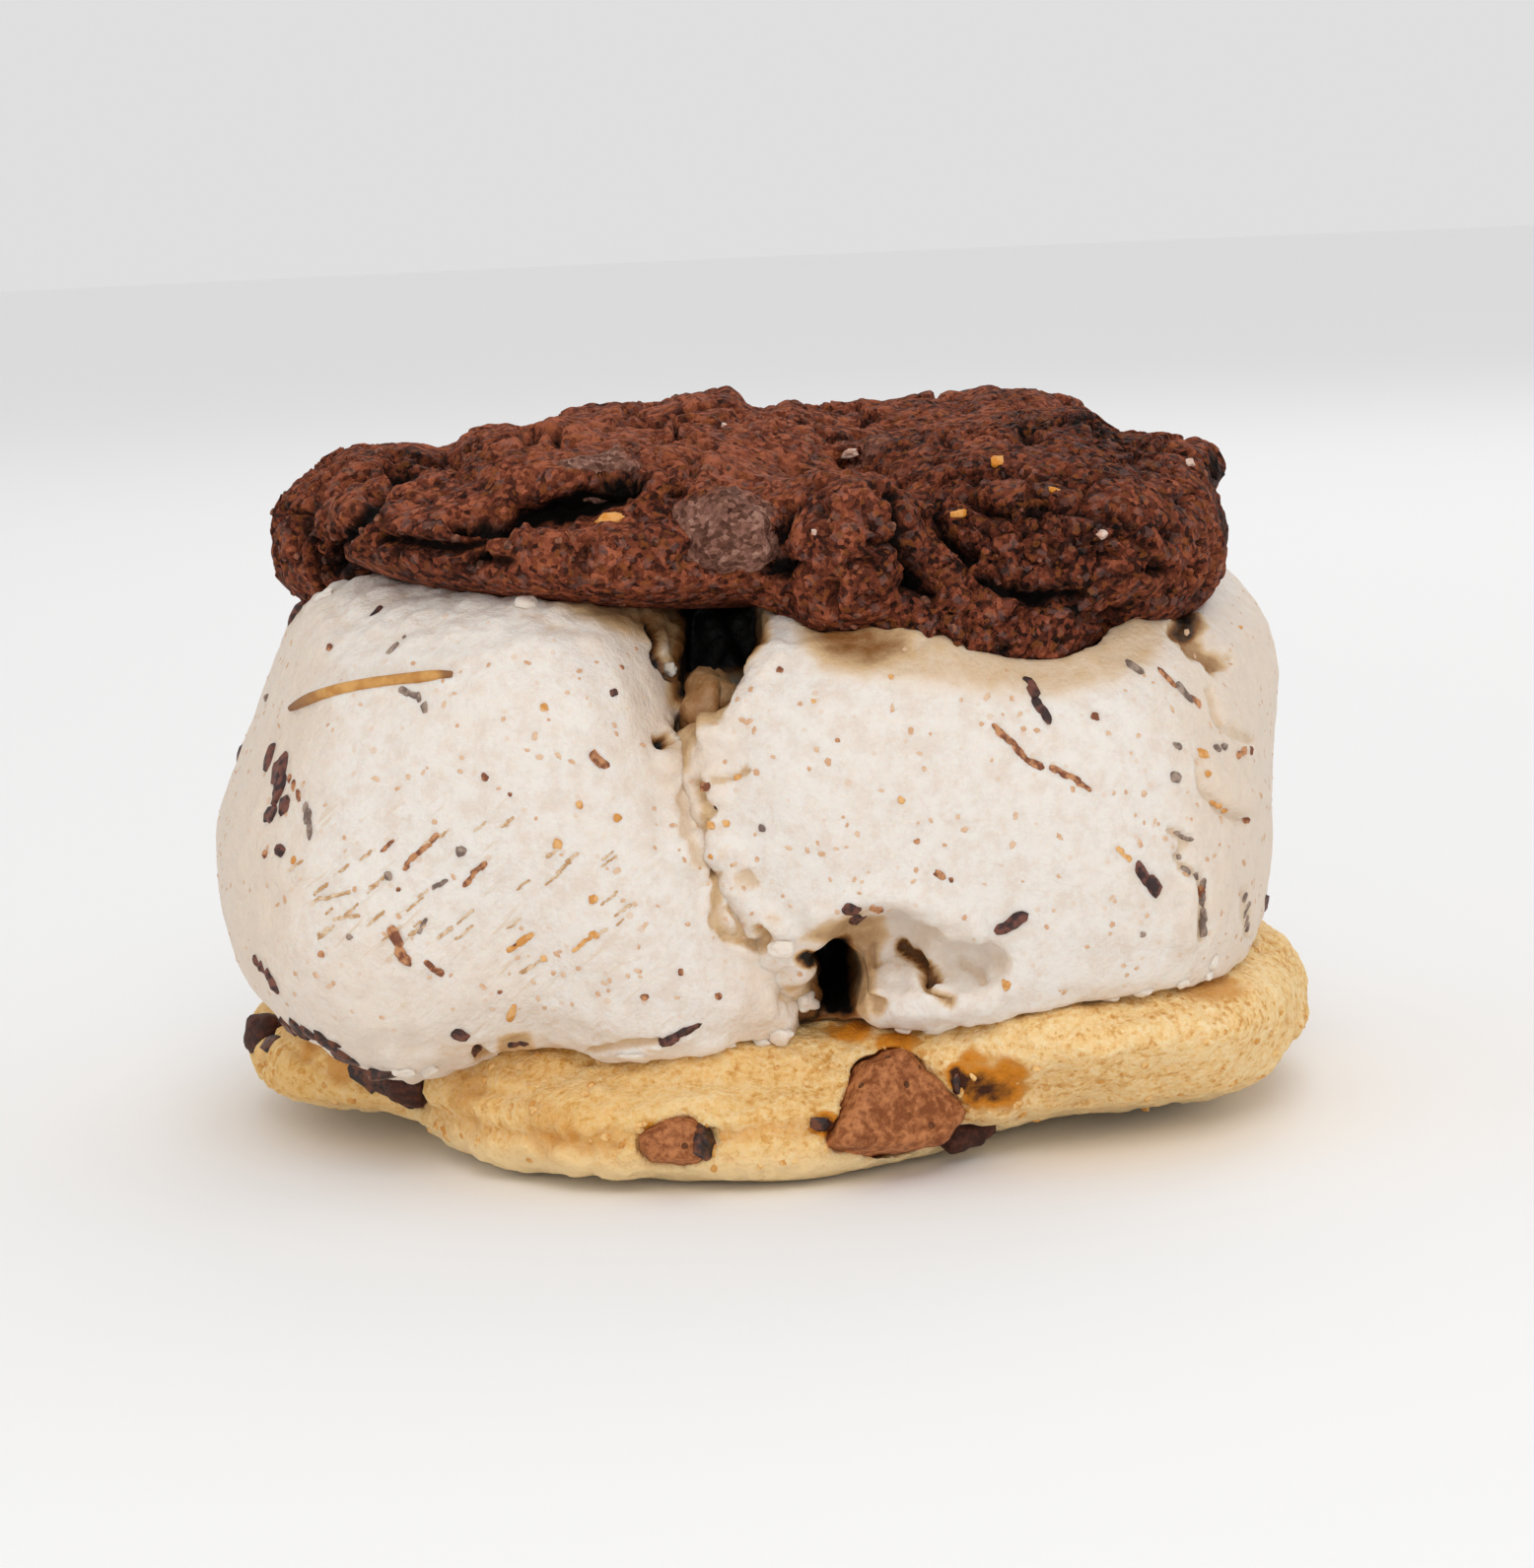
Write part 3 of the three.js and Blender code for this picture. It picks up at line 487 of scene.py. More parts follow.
class Finish:
    """A material made of nodes round one Principled shader."""

    def __init__(self, name):
        self.material = bpy.data.materials.new(name)
        self.material.use_nodes = True
        self.tree = self.material.node_tree
        self.shader = next(node for node in self.tree.nodes if node.type == "BSDF_PRINCIPLED")

    def add(self, kind, settings=(), inputs=(), output=0):
        """Adds a node, sets it up, fills its sockets with numbers or links, and returns one output."""
        node = self.tree.nodes.new(kind)
        for name, setting in dict(settings).items():
            if name == "stops":
                self.set_stops(node.color_ramp, setting)
            else:
                setattr(node, name, setting)
        for name, value in dict(inputs).items():
            self.fill(node.inputs[name], value)
        return Value(self, node.outputs[output])

    @staticmethod
    def set_stops(ramp, stops):
        """Gives a colour ramp its stops of position and colour."""
        while len(ramp.elements) < len(stops):
            ramp.elements.new(1)
        for element, (position, colour) in zip(ramp.elements, stops):
            element.position = position
            element.color = (*colour, 1)

    def fill(self, socket, value):
        """Links a value to a socket, or sets the socket to a number or colour."""
        if isinstance(value, Value):
            self.tree.links.new(value.socket, socket)
        elif socket.type == "RGBA":
            socket.default_value = (*value, 1)
        else:
            socket.default_value = value

    def surface(self, **inputs):
        """Fills the shader's sockets, named with _ for each space."""
        for name, value in inputs.items():
            self.fill(self.shader.inputs[name.replace("_", " ")], value)
        return self.material

    def place(self):
        """Where a point is, in millimetres."""
        point = self.add("ShaderNodeTexCoord", output="Object")
        return self.add("ShaderNodeVectorMath", {"operation": "SCALE"}, {0: point, "Scale": 1 / MM})

    def attribute(self, name):
        """A number stored for each vertex."""
        return self.add("ShaderNodeAttribute", {"attribute_name": name}, output="Fac")

    def noise(self, place, grain, detail=2.0, roughness=0.5):
        inputs = {"Vector": place, "Scale": 1 / grain, "Detail": detail, "Roughness": roughness}
        return self.add("ShaderNodeTexNoise", {}, inputs)

    def drawn_out(self, place, tilt, along, across):
        """Places turned in the upright plane and scaled, so that noise on them runs in streaks."""
        inputs = {"Vector": place, "Rotation": (0, tilt, 0)}
        turned = self.add("ShaderNodeMapping", {"vector_type": "POINT"}, inputs)
        inputs = {"Vector": turned, "Scale": (1 / along, 1 / along, 1 / across)}
        return self.add("ShaderNodeMapping", {"vector_type": "POINT"}, inputs)

    def mix(self, share, first, second):
        """The first colour where the share is 0, and the second where it is 1."""
        inputs = {0: share, 6: first, 7: second}
        return self.add("ShaderNodeMix", {"data_type": "RGBA"}, inputs, output=2)

    def ramp(self, value, *stops):
        return self.add("ShaderNodeValToRGB", {"stops": stops}, {"Fac": value})

    def grains(self, place, size):
        """A random tone for each grain, from 0 to 1."""
        draw = self.add("ShaderNodeTexVoronoi", {}, {"Vector": place, "Scale": 1 / size}, output="Color")
        return self.add("ShaderNodeSeparateColor", {}, {"Color": draw})

    def specks(self, place, cell, share, radius):
        """1 in small round specks, one in a share of the cells."""
        inputs = {"Vector": place, "Scale": 1 / cell}
        spot = self.add("ShaderNodeTexVoronoi", {}, inputs, output="Distance")
        draw = self.add("ShaderNodeTexVoronoi", {}, inputs, output="Color")
        draw = self.add("ShaderNodeSeparateColor", {}, {"Color": draw})
        inside = 1 - spot.between(0.6 * radius / cell, radius / cell)
        return inside * (1 - draw.between(share - 0.01, share + 0.01))

    def bump(self, height, distance):
        """Fine relief for the Normal socket, of a distance in mm."""
        inputs = {"Height": height, "Distance": distance * MM}
        return self.add("ShaderNodeBump", {}, inputs, output="Normal")


CRUMB_STOPS = (0.27, 0.41, 0.54, 0.7)
BLOOM_LOW, BLOOM_HIGH = linear(100, 66, 54), linear(178, 142, 126)


def cocoa_finish(name, colours, bloomed=False):
    """Dark, dry, cracked crumb in four tones, from its pits to its crests, with painted shade in its cracks
    and hollows and painted light on its raised crumb and lit top, or chocolate that has bloomed.
    """
    finish = Finish(name)
    place = finish.place()
    coarse = finish.noise(place, 3.4, 3, 0.6)
    fine = finish.noise(place, 1.1, 3, 0.6)
    grain = finish.noise(place, 0.34, 2, 0.6)
    tone = coarse * 0.25 + fine * 0.35 + finish.grains(place, 0.42) * 0.25 + grain * 0.15
    # Painted light and shade: raised crumb and lit places paler, hollows and shaded places darker.
    tone = tone + finish.attribute("crest") * 0.14
    tones = (colours.cocoa_pit_and_crack_shade, colours.cocoa_low, colours.cocoa, colours.cocoa_high)
    crumb = finish.ramp(tone, *zip(CRUMB_STOPS, tones))
    crumb = finish.mix(finish.grains(place, 0.55).between(0.78, 0.95) * 0.3, crumb, colours.cocoa_grey)
    crumb = finish.mix(finish.grains(place, 0.5).between(0.22, 0.05) * 0.4, crumb, colours.cocoa_orange)
    if bloomed:
        tones = (colours.cocoa_low, BLOOM_LOW, colours.bloom, BLOOM_HIGH)
        crumb = finish.mix(finish.attribute("bloom"), crumb, finish.ramp(tone, *zip(CRUMB_STOPS, tones)))
    # Painted shade: cracks and pits painted near-black.
    crumb = finish.mix(finish.attribute("crack"), crumb, colours.cocoa_pit_and_crack_shade)
    height = coarse * 0.4 + fine * 0.7 + grain * 0.3
    return finish.surface(
        Base_Color=crumb,
        Roughness=fine * 0.2 + 0.7,
        Specular_IOR_Level=0.1,
        Normal=finish.bump(height, 0.7),
    )


def golden_finish(colours):
    """Pale golden crumb with burnt and caramel spots, painted caramel-brown shade in its folds and at the ice
    cream's foot, and a painted paler underside.
    """
    finish = Finish("golden_crumb")
    place = finish.place()
    coarse = finish.noise(place, 5, 3, 0.55)
    fine = finish.noise(place, 1, 3, 0.65)
    grain = finish.noise(place, 0.4, 2, 0.6)
    tone = coarse * 0.25 + fine * 0.35 + grain * 0.25 + finish.grains(place, 0.4) * 0.15
    # Painted light and shade: raised crumb a little paler, hollows a little darker.
    tone = tone + finish.attribute("crest") * 0.06
    stops = ((0.36, colours.golden_brown), (0.47, colours.golden), (0.62, colours.golden_pale_and_lit_underside))
    crumb = finish.ramp(tone, *stops)
    crumb = finish.mix(finish.attribute("rich") * 0.45, crumb, colours.golden_rich)
    # Painted light: the underside painted paler, for the light the floor throws up onto it.
    crumb = finish.mix(finish.attribute("below") * 0.85, crumb, colours.golden_pale_and_lit_underside)
    browned = finish.attribute("browned")
    stops = ((0.14, colours.golden_brown), (0.4, colours.caramel), (0.85, colours.burnt))
    spots = finish.ramp(browned + (fine - 0.5) * 0.6, *stops)
    crumb = finish.mix(browned.between(0.03, 0.28), crumb, spots)
    # Painted shade: the folds painted caramel-brown.
    crumb = finish.mix(finish.attribute("crack"), crumb, colours.caramel)
    return finish.surface(
        Base_Color=crumb,
        Roughness=fine * 0.2 + 0.62,
        Specular_IOR_Level=0.25,
        Subsurface_Weight=0.25,
        Subsurface_Radius=(1, 0.55, 0.25),
        Subsurface_Scale=1.5 * MM,
        Normal=finish.bump(fine * 0.6 + grain * 0.4, 0.5),
    )


def cream_finish(colours):
    """Frozen cream that lets light through, with drag marks and dust-fine flecks, and painted shade from tan
    through brown to near-black in its holes, hollows and creases and under the top cookie.
    """
    finish = Finish("ice_cream")
    place = finish.place()
    coarse = finish.noise(place, 9, 3, 0.5)
    fine = finish.noise(place, 1.3, 3, 0.6)
    grain = finish.noise(place, 0.45, 2, 0.6)
    streaks = finish.noise(finish.drawn_out(place, DRAG_TILT, 5, 0.55), 1, 2, 0.6)
    # The warm attribute adds painted warm shade to the richer tone.
    rich = coarse * 0.35 + fine * 0.4 + grain * 0.25 + finish.attribute("warm") * 0.5
    cream = finish.mix(rich.between(0.42, 0.95), colours.cream, colours.cream_warm_tone_and_shade)
    marks = streaks.between(0.6, 0.72) * finish.attribute("drag")
    cream = finish.mix(marks * 0.45, cream, colours.cream_tan_mark_and_shade)
    mottle = finish.noise(place, 1.7, 4, 0.75)
    cream = finish.mix(mottle.between(0.4, 0.68) * 0.6, cream, colours.cream_dull)
    cream = finish.mix(finish.specks(place, 1.3, 0.4, 0.26) * 0.4, cream, colours.fleck)
    cream = finish.mix(finish.specks(place, 2.7, 0.5, 0.36) * 0.5, cream, colours.fleck)
    # Painted shade, tan through brown to near-black where shade falls, and a slight tint on the scraps.
    stain = finish.attribute("stain")
    stained = finish.ramp(
        stain + (fine - 0.5) * 0.3,
        (0.2, colours.cream_warm_tone_and_shade),
        (0.45, colours.cream_tan_mark_and_shade),
        (0.72, colours.cream_brown_shade),
        (0.95, colours.cream_hole_shade),
    )
    cream = finish.mix(stain.between(0.05, 0.3), cream, stained)
    height = fine * 0.5 + grain * 0.35 + streaks * finish.attribute("drag") * 0.4
    return finish.surface(
        Base_Color=cream,
        Roughness=fine * 0.2 + 0.42,
        Specular_IOR_Level=0.35,
        Subsurface_Weight=0.4,
        Subsurface_Radius=(1, 0.7, 0.5),
        Subsurface_Scale=0.9 * MM,
        Normal=finish.bump(height, 0.34),
    )


def chocolate_finish(name, colour, paler):
    """Solid chocolate with pores painted dark as painted shade, and pale scuffs."""
    finish = Finish(name)
    place = finish.place()
    coarse = finish.noise(place, 2.2, 3, 0.6)
    fine = finish.noise(place, 0.6, 3, 0.65)
    pores = finish.specks(place, 1.5, 0.5, 0.3)
    body = finish.mix((coarse * 0.4 + fine * 0.6).between(0.4, 0.64), colour, paler)
    # Painted shade: the pores painted dark.
    body = finish.mix(pores * 0.75, body, tuple(0.2 * share for share in colour))
    return finish.surface(
        Base_Color=body,
        Roughness=fine * 0.25 + 0.5,
        Specular_IOR_Level=0.25,
        Normal=finish.bump(coarse * 0.4 + fine * 0.5 - pores * 0.6, 0.35),
    )


def plain_finish(name, colour, paler, roughness=0.5):
    """Small bits, each a little paler or darker than the next."""
    finish = Finish(name)
    place = finish.place()
    patch = finish.noise(place, 0.7, 2)
    body = finish.mix(patch.between(0.4, 0.62), colour, paler)
    return finish.surface(Base_Color=body, Roughness=finish.noise(place, 0.4) * 0.2 + roughness)


# ---- Bits: small nuggets seated on a surface ----
def template(detail):
    """A small ball's points and faces."""
    ball = bmesh.new()
    bmesh.ops.create_icosphere(ball, subdivisions=detail, radius=1)
    points = np.array([vertex.co for vertex in ball.verts])
    faces = np.array([[vertex.index for vertex in face.verts] for face in ball.faces])
    ball.free()
    return points, faces


def tangents(outward):
    """The level direction across a surface, and the direction up it."""
    upright = Vector((0, 1, 0)) if abs(outward.z) > 0.9 else Vector((0, 0, 1))
    side = upright.cross(outward).normalized()
    return side, outward.cross(side)


def bits_mesh(name, bits, seed, detail=2, squareness=0.8):
    """One mesh of many bits. A bit is a point and normal, a size in mm, a turn, and how far it stands out."""
    ball, ball_faces = template(detail)
    block = np.sign(ball) * np.abs(ball) ** squareness
    points = []
    faces = []
    for number, ((point, outward), size, turn, proud) in enumerate(bits):
        side, upward = tangents(outward)
        basis = Matrix((side, upward, outward)).transposed() @ Matrix.Rotation(turn, 3, "Z")
        knobs = 1 + 0.38 * noise(ball * 1.3 + 7.3 * number, 1, seed)
        knobs += 0.14 * noise(ball * 3 + number, 1, seed + 1)
        shape = block * knobs[:, None] * np.array(size) / 2
        centre = np.array(point) / MM + np.array(outward) * (proud - size[2] / 2)
        faces.append(ball_faces + number * len(ball))
        points.append(shape @ np.array(basis).T + centre)
    mesh = bpy.data.meshes.new(name)
    mesh.from_pydata((np.concatenate(points) * MM).tolist(), [], np.concatenate(faces).tolist())
    mesh.update()
    return mesh


def chained(tree, width, route, draws, overlap=1.7):
    """Bits in a line through points of the frame, as a flake breaks up when it is dragged."""
    right, up, _ = camera_axes()
    stops = np.array(route if len(route) > 1 else route * 2, dtype=float)
    bits = []
    for start, end in zip(stops, stops[1:]):
        span = np.linalg.norm(end - start) * FRAME_STEP
        count = max(1, round(span / width))
        for index in range(count):
            jitter = draws.uniform(-0.2, 0.2, 2) * width / FRAME_STEP
            column, row = start + (end - start) * (index + 0.5) / count + jitter
            place = seen(tree, column, row)
            side, upward = tangents(place[1])
            along = right * (end - start)[0] - up * (end - start)[1]
            turn = math.atan2(along @ upward, along @ side)
            thick = width * draws.uniform(0.75, 1.15)
            depth = min(thick, FLAKE_DEPTH)
            bits.append((place, (max(overlap * span / count, thick), thick, depth), turn, 0.32 * depth))
    return bits


# ---- The top cookie ----
# Cracks: width and depth in mm, then the points of the frame that they run through.
TOP_CRACKS = (
    (1.4, 2.2, (464, 464), (438, 477), (407, 490), (378, 512), (360, 535), (344, 560), (341, 583)),
    (1.1, 1.2, (438, 474), (404, 484), (372, 488), (352, 494)),
    (0.9, 1.1, (314, 507), (308, 527), (301, 554)),
    (1, 1.4, (391, 546), (413, 549), (439, 555), (464, 557), (483, 549)),
    (1.3, 2.2, (464, 533), (490, 533), (515, 536), (531, 527), (566, 518)),
    (1.8, 3, (566, 518), (598, 507), (623, 498), (640, 487)),
    (0.9, 1.2, (640, 487), (655, 482)),
    (0.7, 0.8, (579, 546), (592, 559)),
    (0.6, 0.7, (646, 523), (650, 537)),
    (0.9, 1.4, (485, 565), (487, 594)),
    (0.8, 0.9, (703, 466), (704, 485)),
    (0.8, 0.9, (793, 471), (812, 484), (830, 496)),
    (0.8, 0.8, (886, 496), (912, 513)),
    (1.1, 2, (798, 521), (790, 546), (776, 566)),
    (0.8, 1.2, (883, 552), (912, 549)),
    (0.7, 1, (863, 572), (886, 569)),
    (0.8, 1.2, (846, 594), (846, 616)),
    (0.8, 0.9, (853, 472), (875, 478), (897, 480)),
    (1.1, 2.2, (906, 500), (912, 533), (917, 566), (926, 584), (938, 602)),
    (1, 1.6, (950, 520), (959, 546), (972, 556), (985, 566)),
    (1.1, 1.6, (993, 584), (1019, 597), (1045, 606), (1094, 606)),
    (0.8, 1, (1108, 562), (1131, 562)),
    (0.9, 1.1, (979, 506), (1002, 519), (1019, 524)),
    (0.9, 1.1, (1058, 509), (1075, 513), (1111, 523), (1128, 526)),
    (0.9, 1.1, (1138, 523), (1151, 533)),
    (0.8, 1, (1178, 539), (1186, 547)),
    (1.1, 1.6, (1155, 596), (1145, 609), (1118, 625)),
    (0.8, 1, (860, 440), (905, 444), (935, 440)),
)
# Dents: column and row in the frame, then radius and depth in mm.
TOP_DENTS = (
    (472, 583, 1.3, 1.4),
    (510, 573, 1.4, 1.3),
    (787, 574, 1.8, 2.2),
    (1174, 585, 1.3, 1.6),
    (928, 590, 1.6, 1.6),
    (400, 478, 1.8, 1),
    (690, 501, 0.7, 0.8),
    (647, 420, 0.7, 0.8),
    (749, 423, 0.7, 0.8),
    (502, 437, 0.9, 0.8),
    (1048, 519, 0.7, 0.8),
    (1157, 552, 0.7, 0.8),
    (806, 606, 0.8, 0.9),
    (886, 609, 0.7, 0.8),
    (946, 612, 0.7, 0.8),
    (979, 629, 0.7, 0.8),
    (959, 645, 0.9, 0.8),
)
# Ridges: width and height in mm, then the points of the frame that they run along.
TOP_RIDGES = (
    (1.5, 0.7, (557, 498), (592, 488), (604, 480), (623, 473)),
    (1.2, 0.8, (853, 458), (880, 462), (915, 455)),
    (1.3, 0.5, (451, 484), (426, 497), (400, 512), (384, 540), (360, 562), (353, 584)),
)
BIT_DEPTH, BIT_PROUD = 0.8, 0.3  # in mm
# Bits of caramel, and pale ones: column and row in the frame, then width and height in mm.
CARAMEL_BITS = (
    (618, 526, 2.3, 1.1),
    (1012, 469, 1.1, 1.2),
    (1067, 498, 1.3, 0.5),
    (975, 521, 1.6, 0.7),
)
PALE_BITS_AND_HIGHLIGHT = (
    # The first pale bit is a painted highlight on the lit edge of a chunk.
    (861, 461, 1.5, 0.8),
    (1207, 470, 0.8, 0.8),
    (1119, 543, 0.9, 0.7),
    (735, 432, 0.5, 0.5),
    (826, 540, 0.5, 0.6),
)
# Painted light and shade on the crumb, paler where the slab's top is lit and darker where the rim, the lobe
# and the ball are shaded: column, row and radius in the frame, and by how much, less than 0 for darker.
TOP_PAINTED_LIGHT_SPOTS = (
    (600, 430, 120, 0.45),
    (740, 430, 110, 0.45),
    (560, 480, 70, 0.25),
    (780, 520, 60, 0.2),
    (1080, 405, 70, -1),
    (1120, 425, 40, -1),
    (1035, 434, 36, -1),
    (930, 425, 60, -0.6),
    (1232, 480, 26, -1.2),
    (1240, 530, 22, -1),
    (420, 468, 36, -0.8),
    (350, 570, 30, -0.7),
    (620, 500, 30, -0.8),
    (905, 560, 50, -0.5),
    (1060, 550, 190, -0.45),
    (310, 480, 60, 0.4),
)
# Where the rim stands out further or less: column, row and radius in the frame, and how far in mm.
TOP_SWELLS = (
    (450, 458, 34, -1),
    (570, 418, 40, 0.9),
    (660, 405, 45, -0.7),
    (735, 395, 24, 0.6),
    (770, 400, 34, -0.9),
    (870, 398, 90, -1),
    (965, 395, 36, -0.6),
    (1040, 400, 70, 1),
    (1098, 412, 38, 0.6),
    (1150, 432, 44, -0.9),
    (1236, 464, 38, 1.2),
    (300, 480, 60, -0.9),
    (272, 545, 50, -0.4),
    (960, 648, 60, 0.8),
    (1110, 665, 40, -0.8),
)
TOP_BACK = (-30, -18)  # y in mm over which the marked front gives way to the back's own cracks
BALL_SIDE = (8, 13)  # x in mm over which the cookie's front turns into the ball-like lump
TOP_CRACK_WIDTH = 0.8  # of the widths in the table, which take in the crumbled sides of the cracks
TOP_SWELL = 0.42  # in mm, makes up for what the smoothing takes off


def top_relief(mesh, crumb_height):
    """Cracks, crumb and dents of the dark cookie, with its flat side left plain."""
    points, normals = points_of(mesh)
    shown = smoothstep(-0.9, -0.3, normals[:, 2])
    wobble = 0.3 * noise(points, 1.2, 71) + 0.2 * noise(points, 0.6, 72)
    front = np.flatnonzero((points[:, 1] < 0) & (normals[:, 1] < 0.3))
    places = frame_places(points[front])
    facing = -normals @ np.array(camera_axes()[2])
    narrowing = 0.45 + 0.55 * smoothstep(0.1, 0.5, facing[front])
    cracks, dents, ridges, painted_light_spots = np.zeros((4, len(points)))
    lines = [(width * TOP_CRACK_WIDTH, depth, *route) for width, depth, *route in TOP_CRACKS]
    cracks[front] = frame_lines(places, lines, wobble[front], narrowing)
    ridges[front] = frame_lines(places, TOP_RIDGES, wobble[front], narrowing)
    for column, row, radius, depth in TOP_DENTS:
        off = np.linalg.norm(places - (column, row), axis=1) * FRAME_STEP / (radius * narrowing)
        dents[front] += depth * fade(0.3, 1, off + wobble[front])
    # Painted light and shade by place in the frame, faded where the surface turns away from the camera.
    painted_light_spots[front] = smoothstep(-0.1, 0.35, facing[front]) * frame_spots(places, TOP_PAINTED_LIGHT_SPOTS)
    swell = TOP_SWELL + frame_spots(frame_places(points), TOP_SWELLS)
    warped = warp(points, 1.3, 2.6, 73)
    away = smoothstep(*TOP_BACK, points[:, 1])
    borders, _ = cell_borders(warped, 8.5, 81, 0.09)
    splits = 1.7 * away * borders * smoothstep(-0.3, 0.3, noise(points, 9, 82))
    ball = smoothstep(*BALL_SIDE, points[:, 0]) * (1 - away)
    borders, draw = cell_borders(warped, 2.9, 83, 0.09)
    cover = smoothstep(-0.05, 0.4, noise(points, 6, 84) + 0.6 * ball - 0.25 * (1 - away))
    crackle = (0.6 + 0.2 * ball) * borders * cover
    lumps = 0.6 * rough_noise(points, 6, 85) + 0.4 * rough_noise(points, 2.2, 86) + 0.4 * (draw - 0.5)
    pebbles = 0.6 * (0.5 - cell_noise(warped, 1.25, 87)[0]) + 0.45 * noise(points, 0.8, 88)
    pits = smoothstep(0.5, 0.75, noise(points, 1.3, 89))
    crumb = crumb_height * (lumps + pebbles - 1.3 * pits)
    carved = np.maximum(cracks, splits) + dents + crackle
    sloping = 0.3 + 0.7 * smoothstep(0.1, 0.6, facing)
    lift = shown * (crumb + ridges - np.where(away > 0.5, 1, sloping) * carved) + swell
    set_points(mesh, points + normals * lift[:, None])
    # Painted shade: the cracks, dents and pits are painted near-black, as little light reaches into them.
    store(mesh, "crack", shown * np.maximum(smoothstep(0.5, 1.5, carved), 0.5 * pits))
    # Painted light and shade: raised crumb and the upward-facing top painted paler, hollows darker, plus the
    # painted spots of light and shade.
    store(mesh, "crest", 0.7 * (lumps + pebbles) + painted_light_spots + 0.2 * smoothstep(0.3, 0.9, normals[:, 2]))


class SANDWICH_OT_top_cookie(bpy.types.Operator):
    """Makes the dark, cracked cookie on top"""

    bl_idname = "sandwich.top_cookie"
    bl_label = "Top Cookie"

    def execute(self, context):
        sizes = context.scene.sandwich_sizes
        mesh = fine_mesh("top_cookie", sizes.top_spacing, COOKIE_ROUNDS)
        top_relief(mesh, sizes.top_crumb / MM)
        finish = cocoa_finish("cocoa_crumb", context.scene.sandwich_colours)
        add_piece("top_crust", mesh, finish, ["top_cookie"])
        return {"FINISHED"}


# ---- The bottom cookie ----
# Folds: width and depth in mm, then the points of the frame that they run through.
BASE_FOLDS = (
    (1.5, 0.75, (410, 1120), (440, 1131), (480, 1144), (520, 1154), (560, 1162), (590, 1167), (640, 1153)),
    (1.1, 0.8, (722, 1153), (757, 1152), (780, 1144), (822, 1148)),
    (0.8, 0.45, (478, 1105), (505, 1108), (535, 1110)),
    (0.9, 0.6, (868, 1152), (884, 1166), (872, 1172)),
    (0.8, 0.5, (300, 1066), (318, 1080), (340, 1090), (372, 1104)),
)
# Dents: column and row in the frame, then radius and depth in mm.
BASE_DENTS = (
    (555, 1156, 1.5, 0.5),
    (650, 1162, 1, 0.5),
)
# Where the crust has browned, and painted shade at the ice cream's foot: column and row in the frame, radius
# in mm, and how far. From 0.14 it is golden brown, from 0.4 caramel and from 0.85 burnt.
BASE_BROWNED_AND_SHADED = (
    (552, 1152, 4, 0.14),
    (1004, 1098, 3.6, 0.42),
    (985, 1100, 2, 0.35),
    (972, 1097, 1.2, 0.9),
    (1014, 1112, 2.2, 0.3),
    # These two spots are painted shade along the ice cream's foot.
    (905, 1056, 2.4, 0.4),
    (860, 1046, 3, 0.4),
    (470, 1110, 4, 0.16),
    (600, 1162, 2.4, 0.14),
    (320, 1060, 3, 0.2),
    (345, 1078, 2.4, 0.2),
    (1230, 1000, 4, 0.2),
    (880, 1160, 1.4, 0.4),
    (838, 1140, 1.4, 0.7),
    (715, 1150, 1.6, 0.7),
    (655, 1146, 1.2, 0.4),
)
BASE_BACK = (-26, -14)  # y in mm over which the marked front gives way to the back's own cracks


def base_relief(mesh, crumb_height):
    """Soft bumps, fine crumb and folds of the golden cookie."""
    points, normals = points_of(mesh)
    bare = tree_of(mesh)
    shown = smoothstep(0.2, 1.2, points[:, 2])
    wobble = 0.25 * noise(points, 1.6, 171) + 0.15 * noise(points, 0.7, 172)
    folds = depth_of_lines(points, bare, BASE_FOLDS, wobble)
    dents = depth_of_spots(points, bare, BASE_DENTS, wobble)
    browned = depth_of_spots(points, bare, BASE_BROWNED_AND_SHADED, wobble)
    borders, _ = cell_borders(warp(points, 2, 4, 173), 12, 181, 0.1)
    away = smoothstep(*BASE_BACK, points[:, 1])
    splits = 0.8 * away * borders * smoothstep(-0.2, 0.3, noise(points, 11, 182))
    lumps = 0.8 * rough_noise(points, 5, 185) + 0.4 * rough_noise(points, 1.8, 186)
    pebbles = 0.4 * (0.5 - cell_noise(points, 1.3, 187)[0]) + 0.3 * noise(points, 0.8, 188)
    pits = 0.9 * smoothstep(0.45, 0.7, noise(points, 1.6, 189)) * smoothstep(0, 0.4, noise(points, 8, 190))
    carved = np.maximum(folds, splits) + dents
    crumb = crumb_height * (lumps + pebbles - pits)
    set_points(mesh, points + normals * (shown * (crumb - carved))[:, None])
    # Painted shade in the folds and dents.
    store(mesh, "crack", 0.35 * smoothstep(0.2, 1.2, carved))
    # Painted light and shade: raised crumb a little paler, pits and hollows darker.
    store(mesh, "crest", (lumps + pebbles - pits) / 1.2)
    store(mesh, "browned", np.clip(browned, 0, 1))
    store(mesh, "rich", smoothstep(20, -8, points[:, 0]) * (0.7 + 0.3 * noise(points, 5, 191)))
    # Painted light: how far the underside is painted paler, for the light the floor throws up.
    store(mesh, "below", smoothstep(4.5, 1.5, points[:, 2]))


class SANDWICH_OT_bottom_cookie(bpy.types.Operator):
    """Makes the golden cookie underneath"""

    bl_idname = "sandwich.bottom_cookie"
    bl_label = "Bottom Cookie"

    def execute(self, context):
        sizes = context.scene.sandwich_sizes
        mesh = fine_mesh("bottom_cookie", sizes.base_spacing, COOKIE_ROUNDS)
        base_relief(mesh, sizes.base_crumb / MM)
        finish = golden_finish(context.scene.sandwich_colours)
        add_piece("base_crust", mesh, finish, ["bottom_cookie"])
        return {"FINISHED"}


